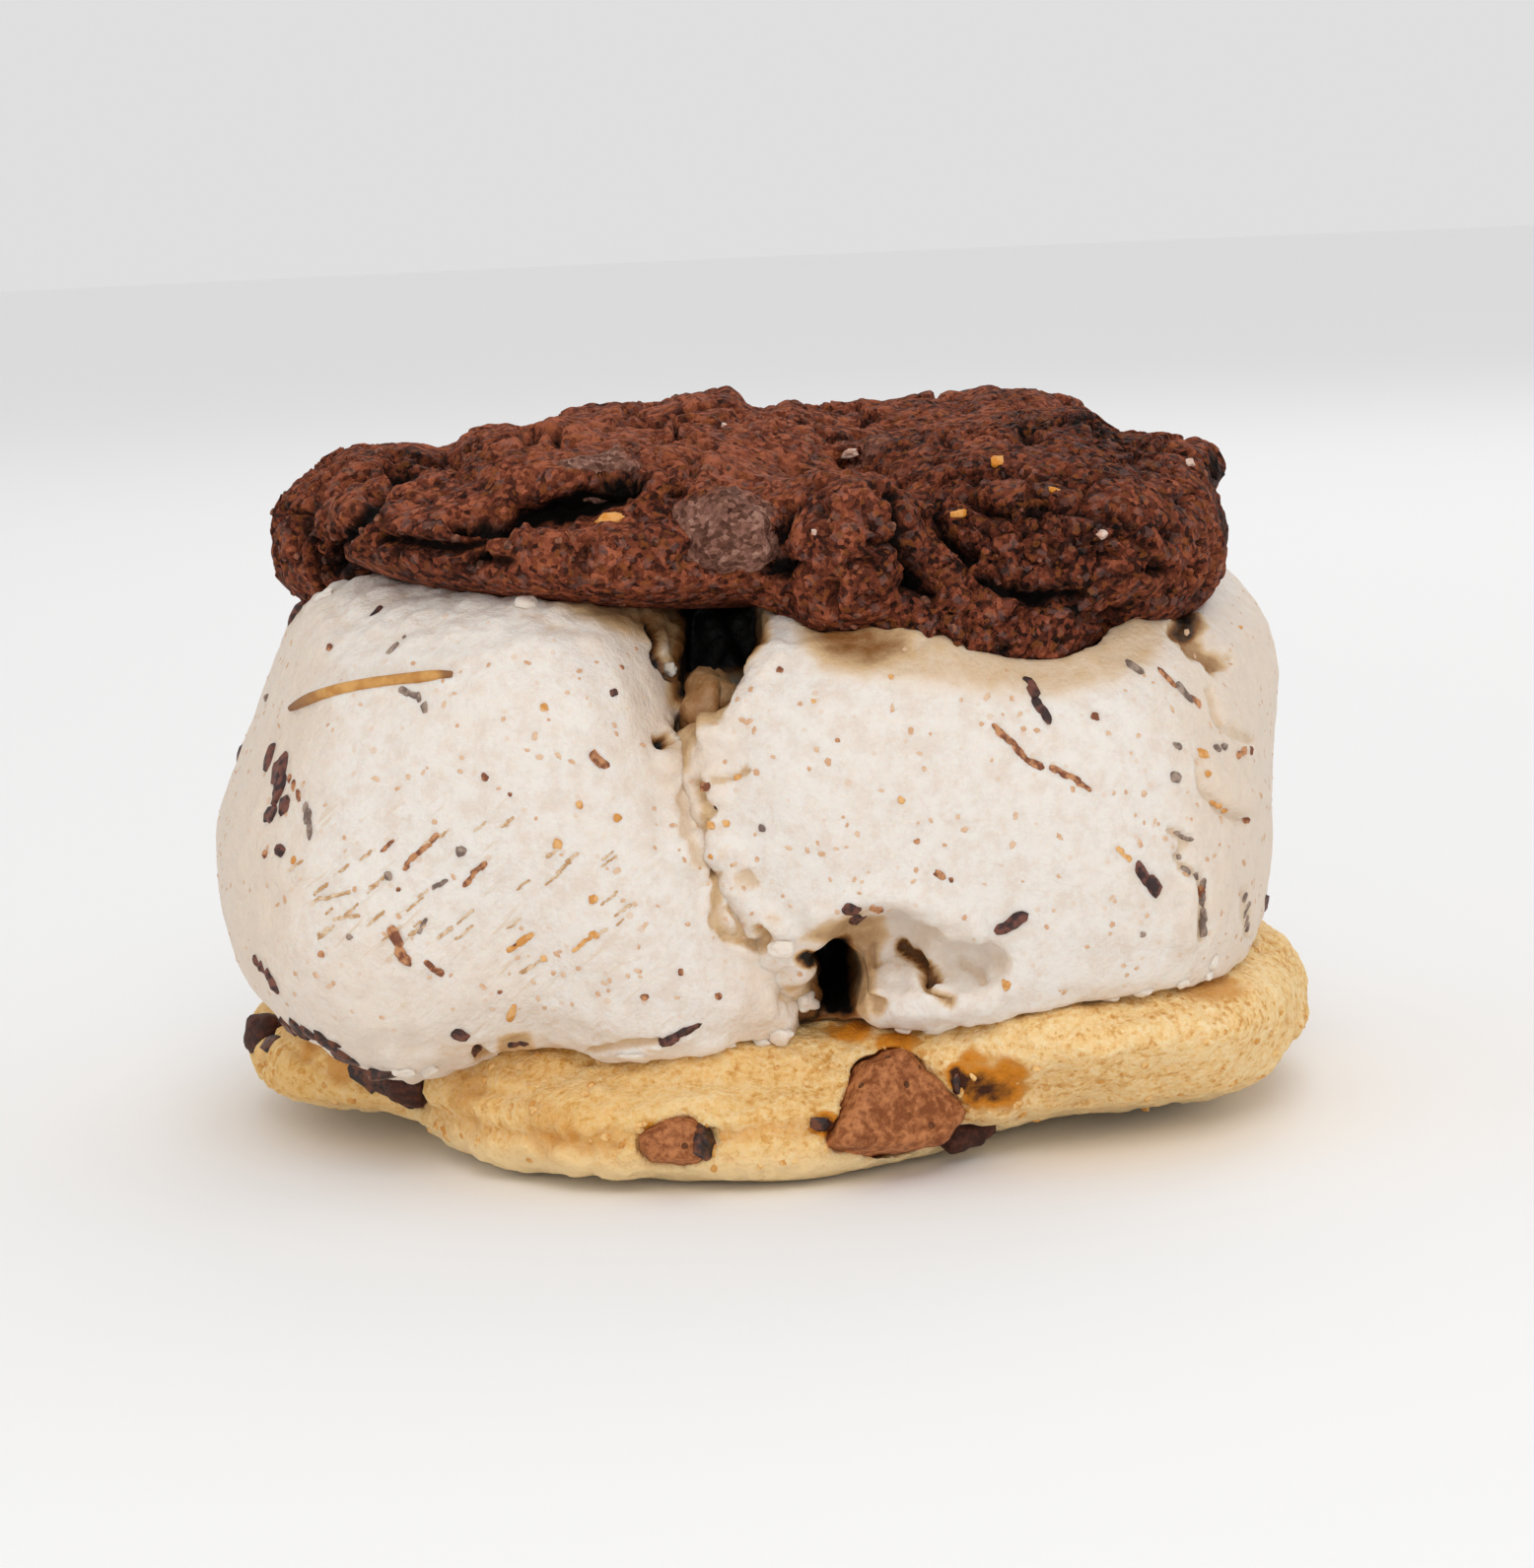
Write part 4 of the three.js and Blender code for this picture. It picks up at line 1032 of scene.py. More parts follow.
# ---- The scoops ----
DRAG_TILT = math.radians(40)  # drag marks rise to the right on the left scoop
TORN_SEAM = -1  # x of the seam at the back, in mm
SEAM_SWELL = 1  # in mm, closes most of the gap between the scoops
SCOOP_SEEDS = {"left": 301, "right": 321}
TORN_TOP, TORN_FOOT = (39, 43), (11.5, 14)  # heights in mm over which the torn edges begin and end
MARKED_FRONT = -22  # marks lie in front of this y, in mm
SEAM_FRONT = -15  # the torn strip follows the route in front of this y, in mm
# The points of the frame that the seam runs through.
SEAM_ROUTE = ((704, 752), (706, 800), (710, 850), (734, 884), (748, 925), (776, 950), (790, 985), (796, 1030))

# Boxes round the insides of the void and the cave, which are painted near-black as painted shade: lowest and
# highest x, y and z in mm.
PAINTED_DARK_BOXES = (
    ((-7, 0.5), (-36, 10), (36, 50)),
    ((1.5, 6.2), (-37.5, 10), (11.5, 19)),
)
PAINTED_DARK_EDGE = 2  # mm in which the painted shade turns dark

# Grooves on the front: width and depth in mm, strength of the painted shade in them, then the points of the
# frame that they run through.
CREAM_GROOVES = (
    (0.7, 1.5, 1, (658, 628), (662, 645), (668, 664), (680, 684)),
    (0.3, 0.4, 0.55, (677, 645), (682, 660), (688, 672)),
    (0.8, 1.8, 1, (708, 722), (700, 733), (689, 746), (673, 753)),
    (0.8, 0.6, 0.3, (673, 753), (689, 765), (694, 784), (689, 814), (692, 851), (704, 872), (722, 882)),
    (0.8, 0.9, 0.45, (722, 882), (722, 906), (726, 937), (738, 950), (768, 957), (783, 948)),
    (0.5, 0.6, 0.5, (776, 935), (783, 948)),
    (0.6, 0.8, 0.45, (716, 796), (722, 812), (728, 822), (720, 840)),
    (0.5, 0.6, 0.4, (733, 792), (750, 787), (757, 780)),
    (0.6, 0.5, 0.34, (760, 884), (768, 896)),
    (0.8, 1.2, 0.85, (914, 962), (927, 969), (942, 982), (950, 991)),
    (0.7, 0.9, 0.62, (938, 990), (943, 1003), (963, 1015)),
    (1, 0.7, 0.55, (873, 960), (871, 985), (879, 1008), (892, 1020)),
    (0.6, 0.6, 0.6, (886, 960), (888, 976)),
    (0.6, 0.5, 0.26, (975, 975), (990, 983), (998, 996)),
    (1.1, 1, 0.62, (1187, 622), (1198, 642), (1214, 658), (1234, 673)),
    (0.5, 0.5, 0.3, (1190, 843), (1208, 854), (1195, 871)),
    (0.6, 0.6, 0.34, (1200, 879), (1216, 890), (1220, 910), (1218, 952)),
    (0.6, 0.5, 0.3, (1263, 905), (1265, 950)),
    (0.6, 0.6, 0.26, (1217, 770), (1222, 800), (1240, 820), (1262, 832)),
    (0.7, 0.8, 0.5, (486, 1068), (500, 1072), (545, 1070)),
    (0.5, 0.6, 0.4, (600, 1066), (650, 1060), (668, 1058)),
    (0.6, 0.5, 0.3, (1226, 700), (1240, 735), (1270, 750)),
)
# Ridges on the front: width and height in mm, then the points of the frame that they run along.
CREAM_RIDGES = (
    (1.6, 0.8, (790, 662), (768, 690), (752, 720), (738, 748)),
    (1, 0.7, (688, 640), (694, 662), (698, 690), (698, 712)),
    (1.5, 0.6, (830, 926), (862, 909), (902, 908), (945, 915), (986, 937)),
    (1.6, 0.6, (1205, 622), (1228, 645), (1250, 668)),
    (1.6, 0.5, (1226, 775), (1246, 800), (1268, 812)),
    (1.2, 0.4, (1206, 885), (1208, 950)),
    (1.4, 0.5, (890, 1030), (940, 1028), (1000, 1022)),
    (1.2, 0.4, (905, 985), (925, 990)),
)
# Painted shade on the front, black in the void and the cave and tan to brown under the top cookie, in the
# hollow, along the seam and at the foot: how strong, how soft in mm, then their outline in the frame.
CREAM_PAINTED_SHADES = (
    (1, 0.3, (709, 628), (779, 628), (765, 649), (756, 677), (748, 694), (730, 700), (712, 704)),
    (1, 0.25, (807, 962), (844, 962), (856, 975), (856, 1002), (867, 1020), (862, 1030), (836, 1030),
     (829, 1006)),
    (0.8, 0.5, (706, 696), (730, 694), (752, 690), (744, 706), (720, 716), (704, 730)),
    (0.55, 0.6, (704, 712), (730, 700), (752, 696), (748, 712), (736, 740), (716, 756), (692, 758)),
    (0.55, 0.8, (814, 950), (842, 928), (866, 920), (896, 926), (904, 950), (892, 966), (884, 1030),
     (858, 1034), (852, 964)),
    (0.16, 1.4, (856, 922), (930, 926), (990, 946), (1004, 976), (984, 996), (950, 1000), (880, 1006)),
    (0.62, 0.35, (818, 1037), (860, 1036), (900, 1040), (900, 1052), (818, 1052)),
    (0.52, 1, (700, 740), (716, 756), (712, 784), (692, 790), (688, 765)),
    (0.12, 1, (700, 780), (720, 790), (716, 850), (692, 850)),
    (0.37, 1.6, (800, 600), (812, 655), (840, 682), (880, 690), (950, 698), (1010, 708), (1070, 710),
     (1130, 698), (1180, 672), (1200, 600)),
    (0.71, 2, (806, 600), (850, 610), (930, 640), (930, 668), (880, 684), (836, 674), (816, 650)),
    (0.92, 0.6, (1184, 606), (1208, 618), (1218, 642), (1208, 656), (1188, 642)),
    (0.62, 1.2, (540, 590), (566, 616), (610, 636), (650, 652), (700, 660), (700, 590)),
    (0.5, 0.4, (503, 1048), (522, 1044), (541, 1047), (545, 1070), (506, 1074)),
    (0.2, 0.8, (1215, 745), (1276, 750), (1270, 840), (1232, 832)),
)


def box_share(points, box):
    """1 well inside a box of lowest and highest x, y and z, and 0 well outside it."""
    share = np.ones(len(points))
    for values, (low, high) in zip(points.T, box):
        half = PAINTED_DARK_EDGE / 2
        share *= smoothstep(low - half, low + half, values) * smoothstep(high + half, high - half, values)
    return share


def front_marks(points, normals, wobble):
    """How far the named grooves and ridges lift each point of the front, and how much painted shade the
    grooves and outlines leave on it.
    """
    lift = np.zeros(len(points))
    stain = np.zeros(len(points))
    front = np.flatnonzero(points[:, 1] < MARKED_FRONT)
    places = frame_places(points[front])
    rough = wobble[front]
    facing = smoothstep(-0.1, 0.3, -normals[front, 1])
    for width, depth, strength, *route in CREAM_GROOVES:
        profile = facing * fade(0.1, 1, off_route(places, route) / width + rough)
        lift[front] -= depth * profile
        # Painted shade in the grooves.
        stain[front] = np.maximum(stain[front], strength * np.minimum(1, 1.4 * profile))
    for width, height, *route in CREAM_RIDGES:
        lift[front] += height * facing * fade(0.1, 1, off_route(places, route) / width + rough)
    for strength, softness, *outline in CREAM_PAINTED_SHADES:
        # Painted shade inside each outline.
        depth = within_outline(places, outline) + 0.6 * rough
        stain[front] = np.maximum(stain[front], strength * smoothstep(-softness, softness, depth))
    return lift, stain


def scoop_relief(mesh, relief_height, torn_height, seed):
    """Ripples on the faces, torn edges along the seam and both cookies, and the marks on the front."""
    points, normals = points_of(mesh)
    x, y, z = points.T
    wobble = 0.3 * noise(points, 1.2, seed + 6) + 0.15 * noise(points, 0.6, seed + 7)
    marks, stain = front_marks(points, normals, wobble)
    # Painted shade: the insides of the void and the cave are painted near-black.
    for box in PAINTED_DARK_BOXES:
        stain = np.maximum(stain, box_share(points, box))
    strip = fade(1.2, 3, off_route(frame_places(points), SEAM_ROUTE) + wobble)
    behind = smoothstep(-20, -10, y) * fade(2.5, 6, np.abs(x - TORN_SEAM))
    strip = np.where(y < SEAM_FRONT, strip, behind)
    by_top = smoothstep(*TORN_TOP, z)
    by_foot = fade(*TORN_FOOT, z)
    torn = np.maximum(strip, 0.55 * np.maximum(by_top, by_foot))
    warped = warp(points, 0.9, 2, seed + 20)
    large = cell_noise(warped, 2.7, seed + 30)[0]
    small = cell_noise(warped, 1.2, seed + 35)[0]
    ripples = relief_height * (1.6 * noise(points, 7, seed + 2) + 0.7 * rough_noise(points, 2.4, seed + 3))
    lumps = 0.62 - large + 0.3 * (0.6 - small) + 0.2 * rough_noise(points, 1.4, seed + 5, 2)
    tears = torn_height * torn * lumps + SEAM_SWELL * strip
    set_points(mesh, points + normals * (ripples + tears + marks)[:, None])
    # Painted shade in the crevices between the torn lumps.
    shade_between_lumps = 0.28 * smoothstep(0.45, 0.85, large) + 0.2 * smoothstep(0.5, 0.8, small)
    stain = np.maximum(stain, torn * shade_between_lumps)
    # Painted warm shade where the ice cream turns sideways and at its lower left, where less light falls.
    lower_left = smoothstep(26, 14, z) * smoothstep(-6, -30, x)
    # Painted shade from the marks, the dark boxes and the torn crevices.
    store(mesh, "stain", stain)
    sideways = smoothstep(0.25, 1.1, np.abs(normals[:, 0]))
    store(mesh, "warm", np.maximum(sideways, 0.5 * lower_left))
    patches = smoothstep(-0.3, 0.4, noise(points, 8, seed + 8))
    dragged = smoothstep(36, 28, z) * patches * smoothstep(10, -10, x)
    store(mesh, "drag", (1 - torn) * dragged)


class SANDWICH_OT_scoops(bpy.types.Operator):
    """Makes the two scoops of ice cream and the scraps torn from them"""

    bl_idname = "sandwich.scoops"
    bl_label = "Scoops"

    def execute(self, context):
        sizes = context.scene.sandwich_sizes
        finish = cream_finish(context.scene.sandwich_colours)
        for side, seed in SCOOP_SEEDS.items():
            node = f"scoop_{side}"
            mesh = fine_mesh(node, sizes.scoop_spacing, SCOOP_ROUNDS)
            scoop_relief(mesh, sizes.scoop_relief / MM, sizes.torn_relief / MM, seed)
            add_piece(f"ice_cream_{side}", mesh, finish, [node])
        shown = tree_of_pieces("ice_cream_left", "ice_cream_right", "top_crust")
        scraps = [scrap(seen(shown, column, row), *shape) for column, row, *shape in CREAM_SCRAPS]
        scraps += [plug(*row[:-1]) for row in CREAM_PLUGS]
        mesh = bits_mesh("cream_scraps", scraps, 61, detail=3, squareness=0.9)
        # The scraps get a slight warm tint; the plugs, deep in the void, get their painted shade.
        tints_and_shades = [SCRAP_TINT] * len(CREAM_SCRAPS) + [row[-1] for row in CREAM_PLUGS]
        store(mesh, "stain", np.repeat(tints_and_shades, len(mesh.vertices) // len(scraps)))
        mesh.shade_smooth()
        add_piece("cream_scraps", mesh, finish)
        return {"FINISHED"}


# Scraps of ice cream: column and row in the frame, width, height and how far each stands out in mm, and
# its turn in degrees.
CREAM_SCRAPS = (
    (794, 961, 2, 1.3, 0.9, -6),
    (818, 1017, 2.2, 1.8, 0.7, 0),
    (793, 1051, 1.7, 1.6, 0.6, 0),
    (680, 679, 1, 1, 0.4, 0),
    (329, 604, 2.2, 1.4, 0.4, 30),
    (536, 611, 2.2, 1.3, 0.4, 0),
    (1200, 998, 1, 0.7, 0.3, 20),
    (1226, 990, 0.9, 0.8, 0.3, 0),
    (1256, 993, 0.9, 1.4, 0.35, 0),
    (1160, 1007, 1.6, 0.9, 0.3, 10),
    (1122, 1017, 1.8, 1, 0.3, 10),
    (1080, 1027, 2, 1, 0.3, 5),
    (1042, 1036, 1.8, 1.2, 0.4, 5),
    (1012, 1045, 1.6, 1.1, 0.4, 0),
    (984, 1049, 1.8, 1.1, 0.4, 0),
    (950, 1050, 1.6, 1, 0.4, 0),
    (915, 1046, 1.4, 0.9, 0.3, 0),
    (770, 1066, 1.6, 0.9, 0.3, 0),
    (735, 1068, 1.8, 0.8, 0.3, 0),
    (640, 1072, 2, 0.8, 0.3, 0),
    (410, 1104, 1.8, 1.2, 0.4, -30),
    (436, 1086, 1.4, 1.2, 0.4, 0),
)
SCRAP_DEPTH = 0.7  # as a share of a scrap's lesser side
# A slight warm tint that tones the scraps down.
SCRAP_TINT = 0.15


# Lumps that close the lower end of the void: column and row in the frame, how far in front of the middle in
# mm, width, height, turn in degrees, and how strong their painted shade is.
CREAM_PLUGS = (
    (731, 706, 30.5, 4.2, 3.6, -30, 0.62),
    (715, 722, 32, 3.8, 5.2, -10, 0.67),
)
PLUG_DEPTH = 6  # in mm


def plug(column, row, front, width, height, turn):
    """A deep lump that faces the camera, for one row of CREAM_PLUGS."""
    sight = sight_line(column, row)
    point = camera_place() + sight * ((bpy.context.scene.sandwich_view.distance - front * MM) / sight.y)
    return (point, -sight.normalized()), (width, height, PLUG_DEPTH), math.radians(turn), PLUG_DEPTH / 2


def scrap(place, width, height, proud, turn):
    """A scrap seated on the ice cream, for one row of CREAM_SCRAPS."""
    return place, (width, height, SCRAP_DEPTH * min(width, height)), math.radians(turn), proud


# ---- Chocolate chunks ----
DARK_BASE_CHUNKS = (3, 4, 5, 8)
BASE_CHUNKS, BASE_CHUNK_SEED = 10, 400
TOP_CHUNKS, TOP_CHUNK_SEED = 5, 430
CHUNK_SWELL = 0.3  # in mm, closes most of the gap round a chunk
BLOOM = {1: 0.85, 2: 1, 4: 0.3}  # how much of each top chunk's colour is bloom
CHUNK_RELIEF = 0.26  # of the chunks in the bottom cookie, in mm
TOP_CHUNK_RELIEF = 0.2
PATCH_RELIEF = 0.5  # bloomed chocolate is as rough as the crumb round it
MILK_PALE, DARK_PALE = linear(192, 124, 76), linear(92, 52, 38)


def chunk_mesh(node, spacing, seed, roughness=CHUNK_RELIEF):
    """A fine copy of a chunk, with its relief."""
    mesh = fine_mesh(node, spacing, CHUNK_ROUNDS)
    points, normals = points_of(mesh)
    relief = roughness * rough_noise(points, 2, seed) + 0.4 * roughness * noise(points, 0.8, seed + 1)
    set_points(mesh, points + normals * (CHUNK_SWELL + relief)[:, None])
    return mesh


def away_from_rim(mesh):
    """1 in the middle of a chunk as it shows from the front, and 0 at its rim."""
    points, _ = points_of(mesh)
    spread = (points - points.mean(axis=0))[:, [0, 2]]
    share = np.linalg.norm(spread / np.abs(spread).max(axis=0), axis=1)
    return smoothstep(1.15, 0.85, share + 0.2 * noise(points, 1.5, 450))


class SANDWICH_OT_chunks(bpy.types.Operator):
    """Makes the chocolate chunks in both cookies"""

    bl_idname = "sandwich.chunks"
    bl_label = "Chocolate Chunks"

    def execute(self, context):
        colours = context.scene.sandwich_colours
        spacing = context.scene.sandwich_sizes.chunk_spacing
        milk = chocolate_finish("milk_chocolate", colours.milk, MILK_PALE)
        dark = chocolate_finish("dark_chocolate", colours.dark, DARK_PALE)
        patch = cocoa_finish("bloomed_chocolate", colours, bloomed=True)
        for number in range(1, BASE_CHUNKS + 1):
            kind = "dark" if number in DARK_BASE_CHUNKS else "milk"
            node = f"base_chunk_{number}"
            mesh = chunk_mesh(node, spacing, BASE_CHUNK_SEED + number)
            finish = dark if kind == "dark" else milk
            add_piece(f"{kind}_chunk_{number}", mesh, finish, [node])
        for number in range(1, TOP_CHUNKS + 1):
            roughness = PATCH_RELIEF if number in BLOOM else TOP_CHUNK_RELIEF
            node = f"top_chunk_{number}"
            mesh = chunk_mesh(node, spacing, TOP_CHUNK_SEED + number, roughness)
            store(mesh, "bloom", BLOOM.get(number, 0) * away_from_rim(mesh))
            finish = patch if number in BLOOM else dark
            add_piece(f"cocoa_chunk_{number}", mesh, finish, [node])
        return {"FINISHED"}


# ---- Flakes, shaving and flecks on the ice cream ----
# Kind and width in mm of each flake or mark, then the points of the frame that it runs through.
FLAKES = (
    ("dark", 1.6, (271, 760), (282, 776), (291, 792), (284, 808)),
    ("dark", 1.7, (284, 770), (287, 795), (276, 818), (268, 831)),
    ("dark", 1.2, (290, 812), (284, 824)),
    ("brown", 0.6, (293, 786), (300, 800), (304, 812)),
    ("grey", 0.8, (307, 815), (313, 835), (317, 850)),
    ("dark", 1, (285, 863)),
    ("brown", 0.9, (268, 868)),
    ("amber", 0.7, (299, 871)),
    ("grey", 0.9, (270, 710)),
    ("brown", 0.8, (333, 657)),
    ("grey", 0.7, (397, 665), (402, 655)),
    ("dark", 0.9, (383, 611), (386, 627)),
    ("dark", 1.1, (304, 612), (298, 632)),
    ("grey", 0.6, (408, 700), (425, 706), (431, 722)),
    ("grey", 0.5, (411, 647)),
    ("brown", 0.35, (386, 863), (400, 854)),
    ("brown", 0.5, (417, 871), (430, 860), (443, 849)),
    ("brown", 0.4, (409, 882), (421, 868)),
    ("grey", 0.8, (468, 866)),
    ("brown", 0.5, (471, 899), (481, 888), (491, 877)),
    ("grey", 0.45, (440, 902), (452, 893)),
    ("grey", 0.7, (395, 888)),
    ("brown", 0.45, (403, 902)),
    ("tan", 0.35, (318, 914), (336, 910), (355, 905)),
    ("tan", 0.3, (338, 933), (364, 929)),
    ("grey", 0.5, (355, 950)),
    ("brown", 0.6, (327, 967)),
    ("grey", 0.35, (424, 946), (432, 932)),
    ("brown", 0.95, (395, 945), (405, 960), (417, 977)),
    ("brown", 0.7, (434, 976), (448, 990)),
    ("amber", 0.5, (516, 966), (528, 957), (541, 947)),
    ("brown", 0.3, (522, 960), (537, 950)),
    ("amber", 0.45, (581, 966), (592, 957), (604, 946)),
    ("amber", 0.7, (600, 913)),
    ("amber", 0.8, (564, 857)),
    ("amber", 0.6, (552, 719)),
    ("brown", 0.6, (493, 788)),
    ("brown", 0.5, (516, 806)),
    ("amber", 0.6, (586, 815)),
    ("amber", 0.7, (626, 829)),
    ("brown", 0.9, (603, 768), (615, 778)),
    ("dark", 0.7, (623, 702)),
    ("brown", 0.6, (631, 675)),
    ("amber", 0.5, (552, 973)),
    ("brown", 0.5, (507, 1007)),
    ("amber", 0.8, (519, 1022), (518, 1037)),
    ("dark", 1.2, (466, 1046), (476, 1056), (485, 1068)),
    ("dark", 0.8, (514, 1058), (534, 1059)),
    ("dark", 0.9, (260, 970), (271, 986), (283, 1006)),
    ("dark", 0.9, (667, 1057), (684, 1052), (707, 1043)),
    ("brown", 0.7, (655, 1012)),
    ("brown", 0.6, (690, 985)),
    ("brown", 0.8, (730, 1010)),
    ("amber", 0.6, (605, 950)),
    ("brown", 0.8, (717, 798)),
    ("dark", 0.5, (725, 818)),
    ("amber", 0.8, (720, 838)),
    ("amber", 0.5, (735, 835)),
    ("amber", 0.7, (747, 787)),
    ("amber", 0.5, (722, 870)),
    ("brown", 0.5, (770, 940)),
    ("grey", 0.6, (772, 842)),
    ("brown", 0.5, (792, 680)),
    ("amber", 0.5, (825, 712)),
    ("dark", 0.9, (1041, 689), (1052, 708), (1064, 730)),
    ("brown", 0.55, (1008, 737), (1025, 753), (1041, 770), (1056, 780)),
    ("brown", 0.5, (1066, 779), (1084, 787), (1105, 801)),
    ("brown", 0.8, (1110, 727)),
    ("grey", 0.7, (1143, 671), (1153, 681)),
    ("brown", 0.8, (1180, 682), (1191, 694)),
    ("grey", 0.9, (1194, 697), (1206, 707)),
    ("brown", 0.7, (1209, 708), (1218, 715)),
    ("grey", 0.5, (1189, 755), (1199, 760)),
    ("amber", 0.7, (1215, 763), (1227, 763)),
    ("grey", 0.6, (1229, 762), (1245, 755)),
    ("brown", 0.6, (1252, 768), (1273, 760)),
    ("grey", 0.9, (1191, 786)),
    ("amber", 0.7, (1224, 786)),
    ("amber", 0.5, (1229, 814), (1245, 824)),
    ("brown", 0.8, (1262, 831)),
    ("grey", 0.5, (1190, 845), (1209, 853)),
    ("grey", 0.6, (1195, 871)),
    ("grey", 0.6, (1201, 880), (1216, 890)),
    ("grey", 0.7, (1219, 892), (1219, 950)),
    ("brown", 0.6, (1218, 898), (1218, 912)),
    ("amber", 0.4, (1133, 860), (1146, 873)),
    ("dark", 0.9, (1155, 880), (1165, 893), (1174, 905)),
    ("grey", 0.6, (1264, 908), (1264, 945)),
    ("dark", 1.3, (1012, 941), (1024, 937), (1038, 928)),
    ("dark", 1.1, (858, 922), (866, 930), (876, 937)),
    ("brown", 0.7, (882, 920), (892, 921)),
    ("brown", 0.6, (948, 884), (955, 888)),
    ("brown", 0.5, (966, 892)),
    ("amber", 0.8, (915, 812)),
    ("amber", 0.5, (905, 687)),
    ("brown", 0.4, (849, 750)),
    ("grey", 0.5, (1158, 948)),
    ("amber", 0.6, (1258, 638)),
    ("amber", 0.8, (1020, 1000)),
    ("brown", 0.5, (930, 855)),
)
# Melted chocolate on the bottom cookie's left rim and round its chunks, in the same way.
SMEARS = (
    (2, (262, 1042), (272, 1052), (280, 1060)),
    (1.1, (288, 1036), (313, 1045), (335, 1062), (361, 1082)),
    (2, (364, 1086), (380, 1098), (398, 1110)),
    (1.3, (385, 1086), (400, 1098), (412, 1116)),
    (2.2, (708, 1140), (713, 1150), (708, 1160)),
    (1, (826, 1141), (838, 1143)),
    (0.9, (970, 1092), (972, 1104)),
)
FLAKE_DEPTH = 1.1  # in mm
FLAKE_SEED = 11
SCATTERED_FLAKES = 9  # on each scoop, round its side and back, as in the solids
SCATTER_SIDES = ((105, 195, 90), (-30, 80, 120))  # first and last azimuth in degrees, and the seed
SCATTER_HEIGHTS = (16, 35)  # lowest and highest, in mm
SCATTER_LENGTHS = (2, 4.6)
SCATTER_WIDTHS = (0.9, 1.8)
DASH_COUNT = 40  # fine dashes on the lower part of the left scoop
DASH_COLUMNS, DASH_ROWS = (300, 640), (835, 985)
DASH_REACHES = (3, 9)  # columns to either side
DASH_WIDTHS = (0.18, 0.3)
FLECK_HEIGHTS = (14, 41)
FLECK_WIDTHS = (0.2, 0.55)
SMEAR_OVERLAP = 2.4
SHAVING_RADIUS = 0.48
# The two tones of each kind of flake.
FLAKE_TONES = {
    "dark": (linear(46, 22, 19), linear(112, 64, 50)),
    "brown": (linear(122, 66, 36), linear(196, 138, 92)),
    "amber": (linear(208, 142, 66), linear(228, 176, 112)),
    "grey": (linear(112, 92, 82), linear(162, 140, 124)),
    "tan": (linear(190, 146, 98), linear(222, 196, 164)),
}
FLECK_DARK = linear(208, 162, 124)
SMEAR_TONES = linear(36, 16, 12), linear(104, 54, 28)
SHAVING_PALE, SHAVING_ENDS = linear(214, 160, 88), linear(112, 62, 26)
CREAM_PIECES = ("ice_cream_left", "ice_cream_right", "cream_scraps")
# The points of the frame that the shaving runs through.
SHAVING_ROUTE = (
    (296, 719), (308, 712), (330, 704), (355, 698), (385, 693), (420, 689), (445, 686), (459, 685)
)


def mix(low, high, share):
    """The number at a share of the way from low to high."""
    return low + (high - low) * share


def hidden_flakes(tree):
    """The flakes round the sides and back, where the solids have them."""
    bits = []
    for first, last, seed in SCATTER_SIDES:
        for index in range(SCATTERED_FLAKES):
            draw = [float(hashed(index, axis, 0, seed)[0]) for axis in range(5)]
            azimuth = math.radians(mix(first, last, (index + draw[0]) / SCATTERED_FLAKES))
            place = touch_round(tree, azimuth, mix(*SCATTER_HEIGHTS, draw[1]))
            size = (mix(*SCATTER_LENGTHS, draw[2]), mix(*SCATTER_WIDTHS, draw[3]), FLAKE_DEPTH)
            bits.append((place, size, math.pi * draw[4], 0.2))
    return bits


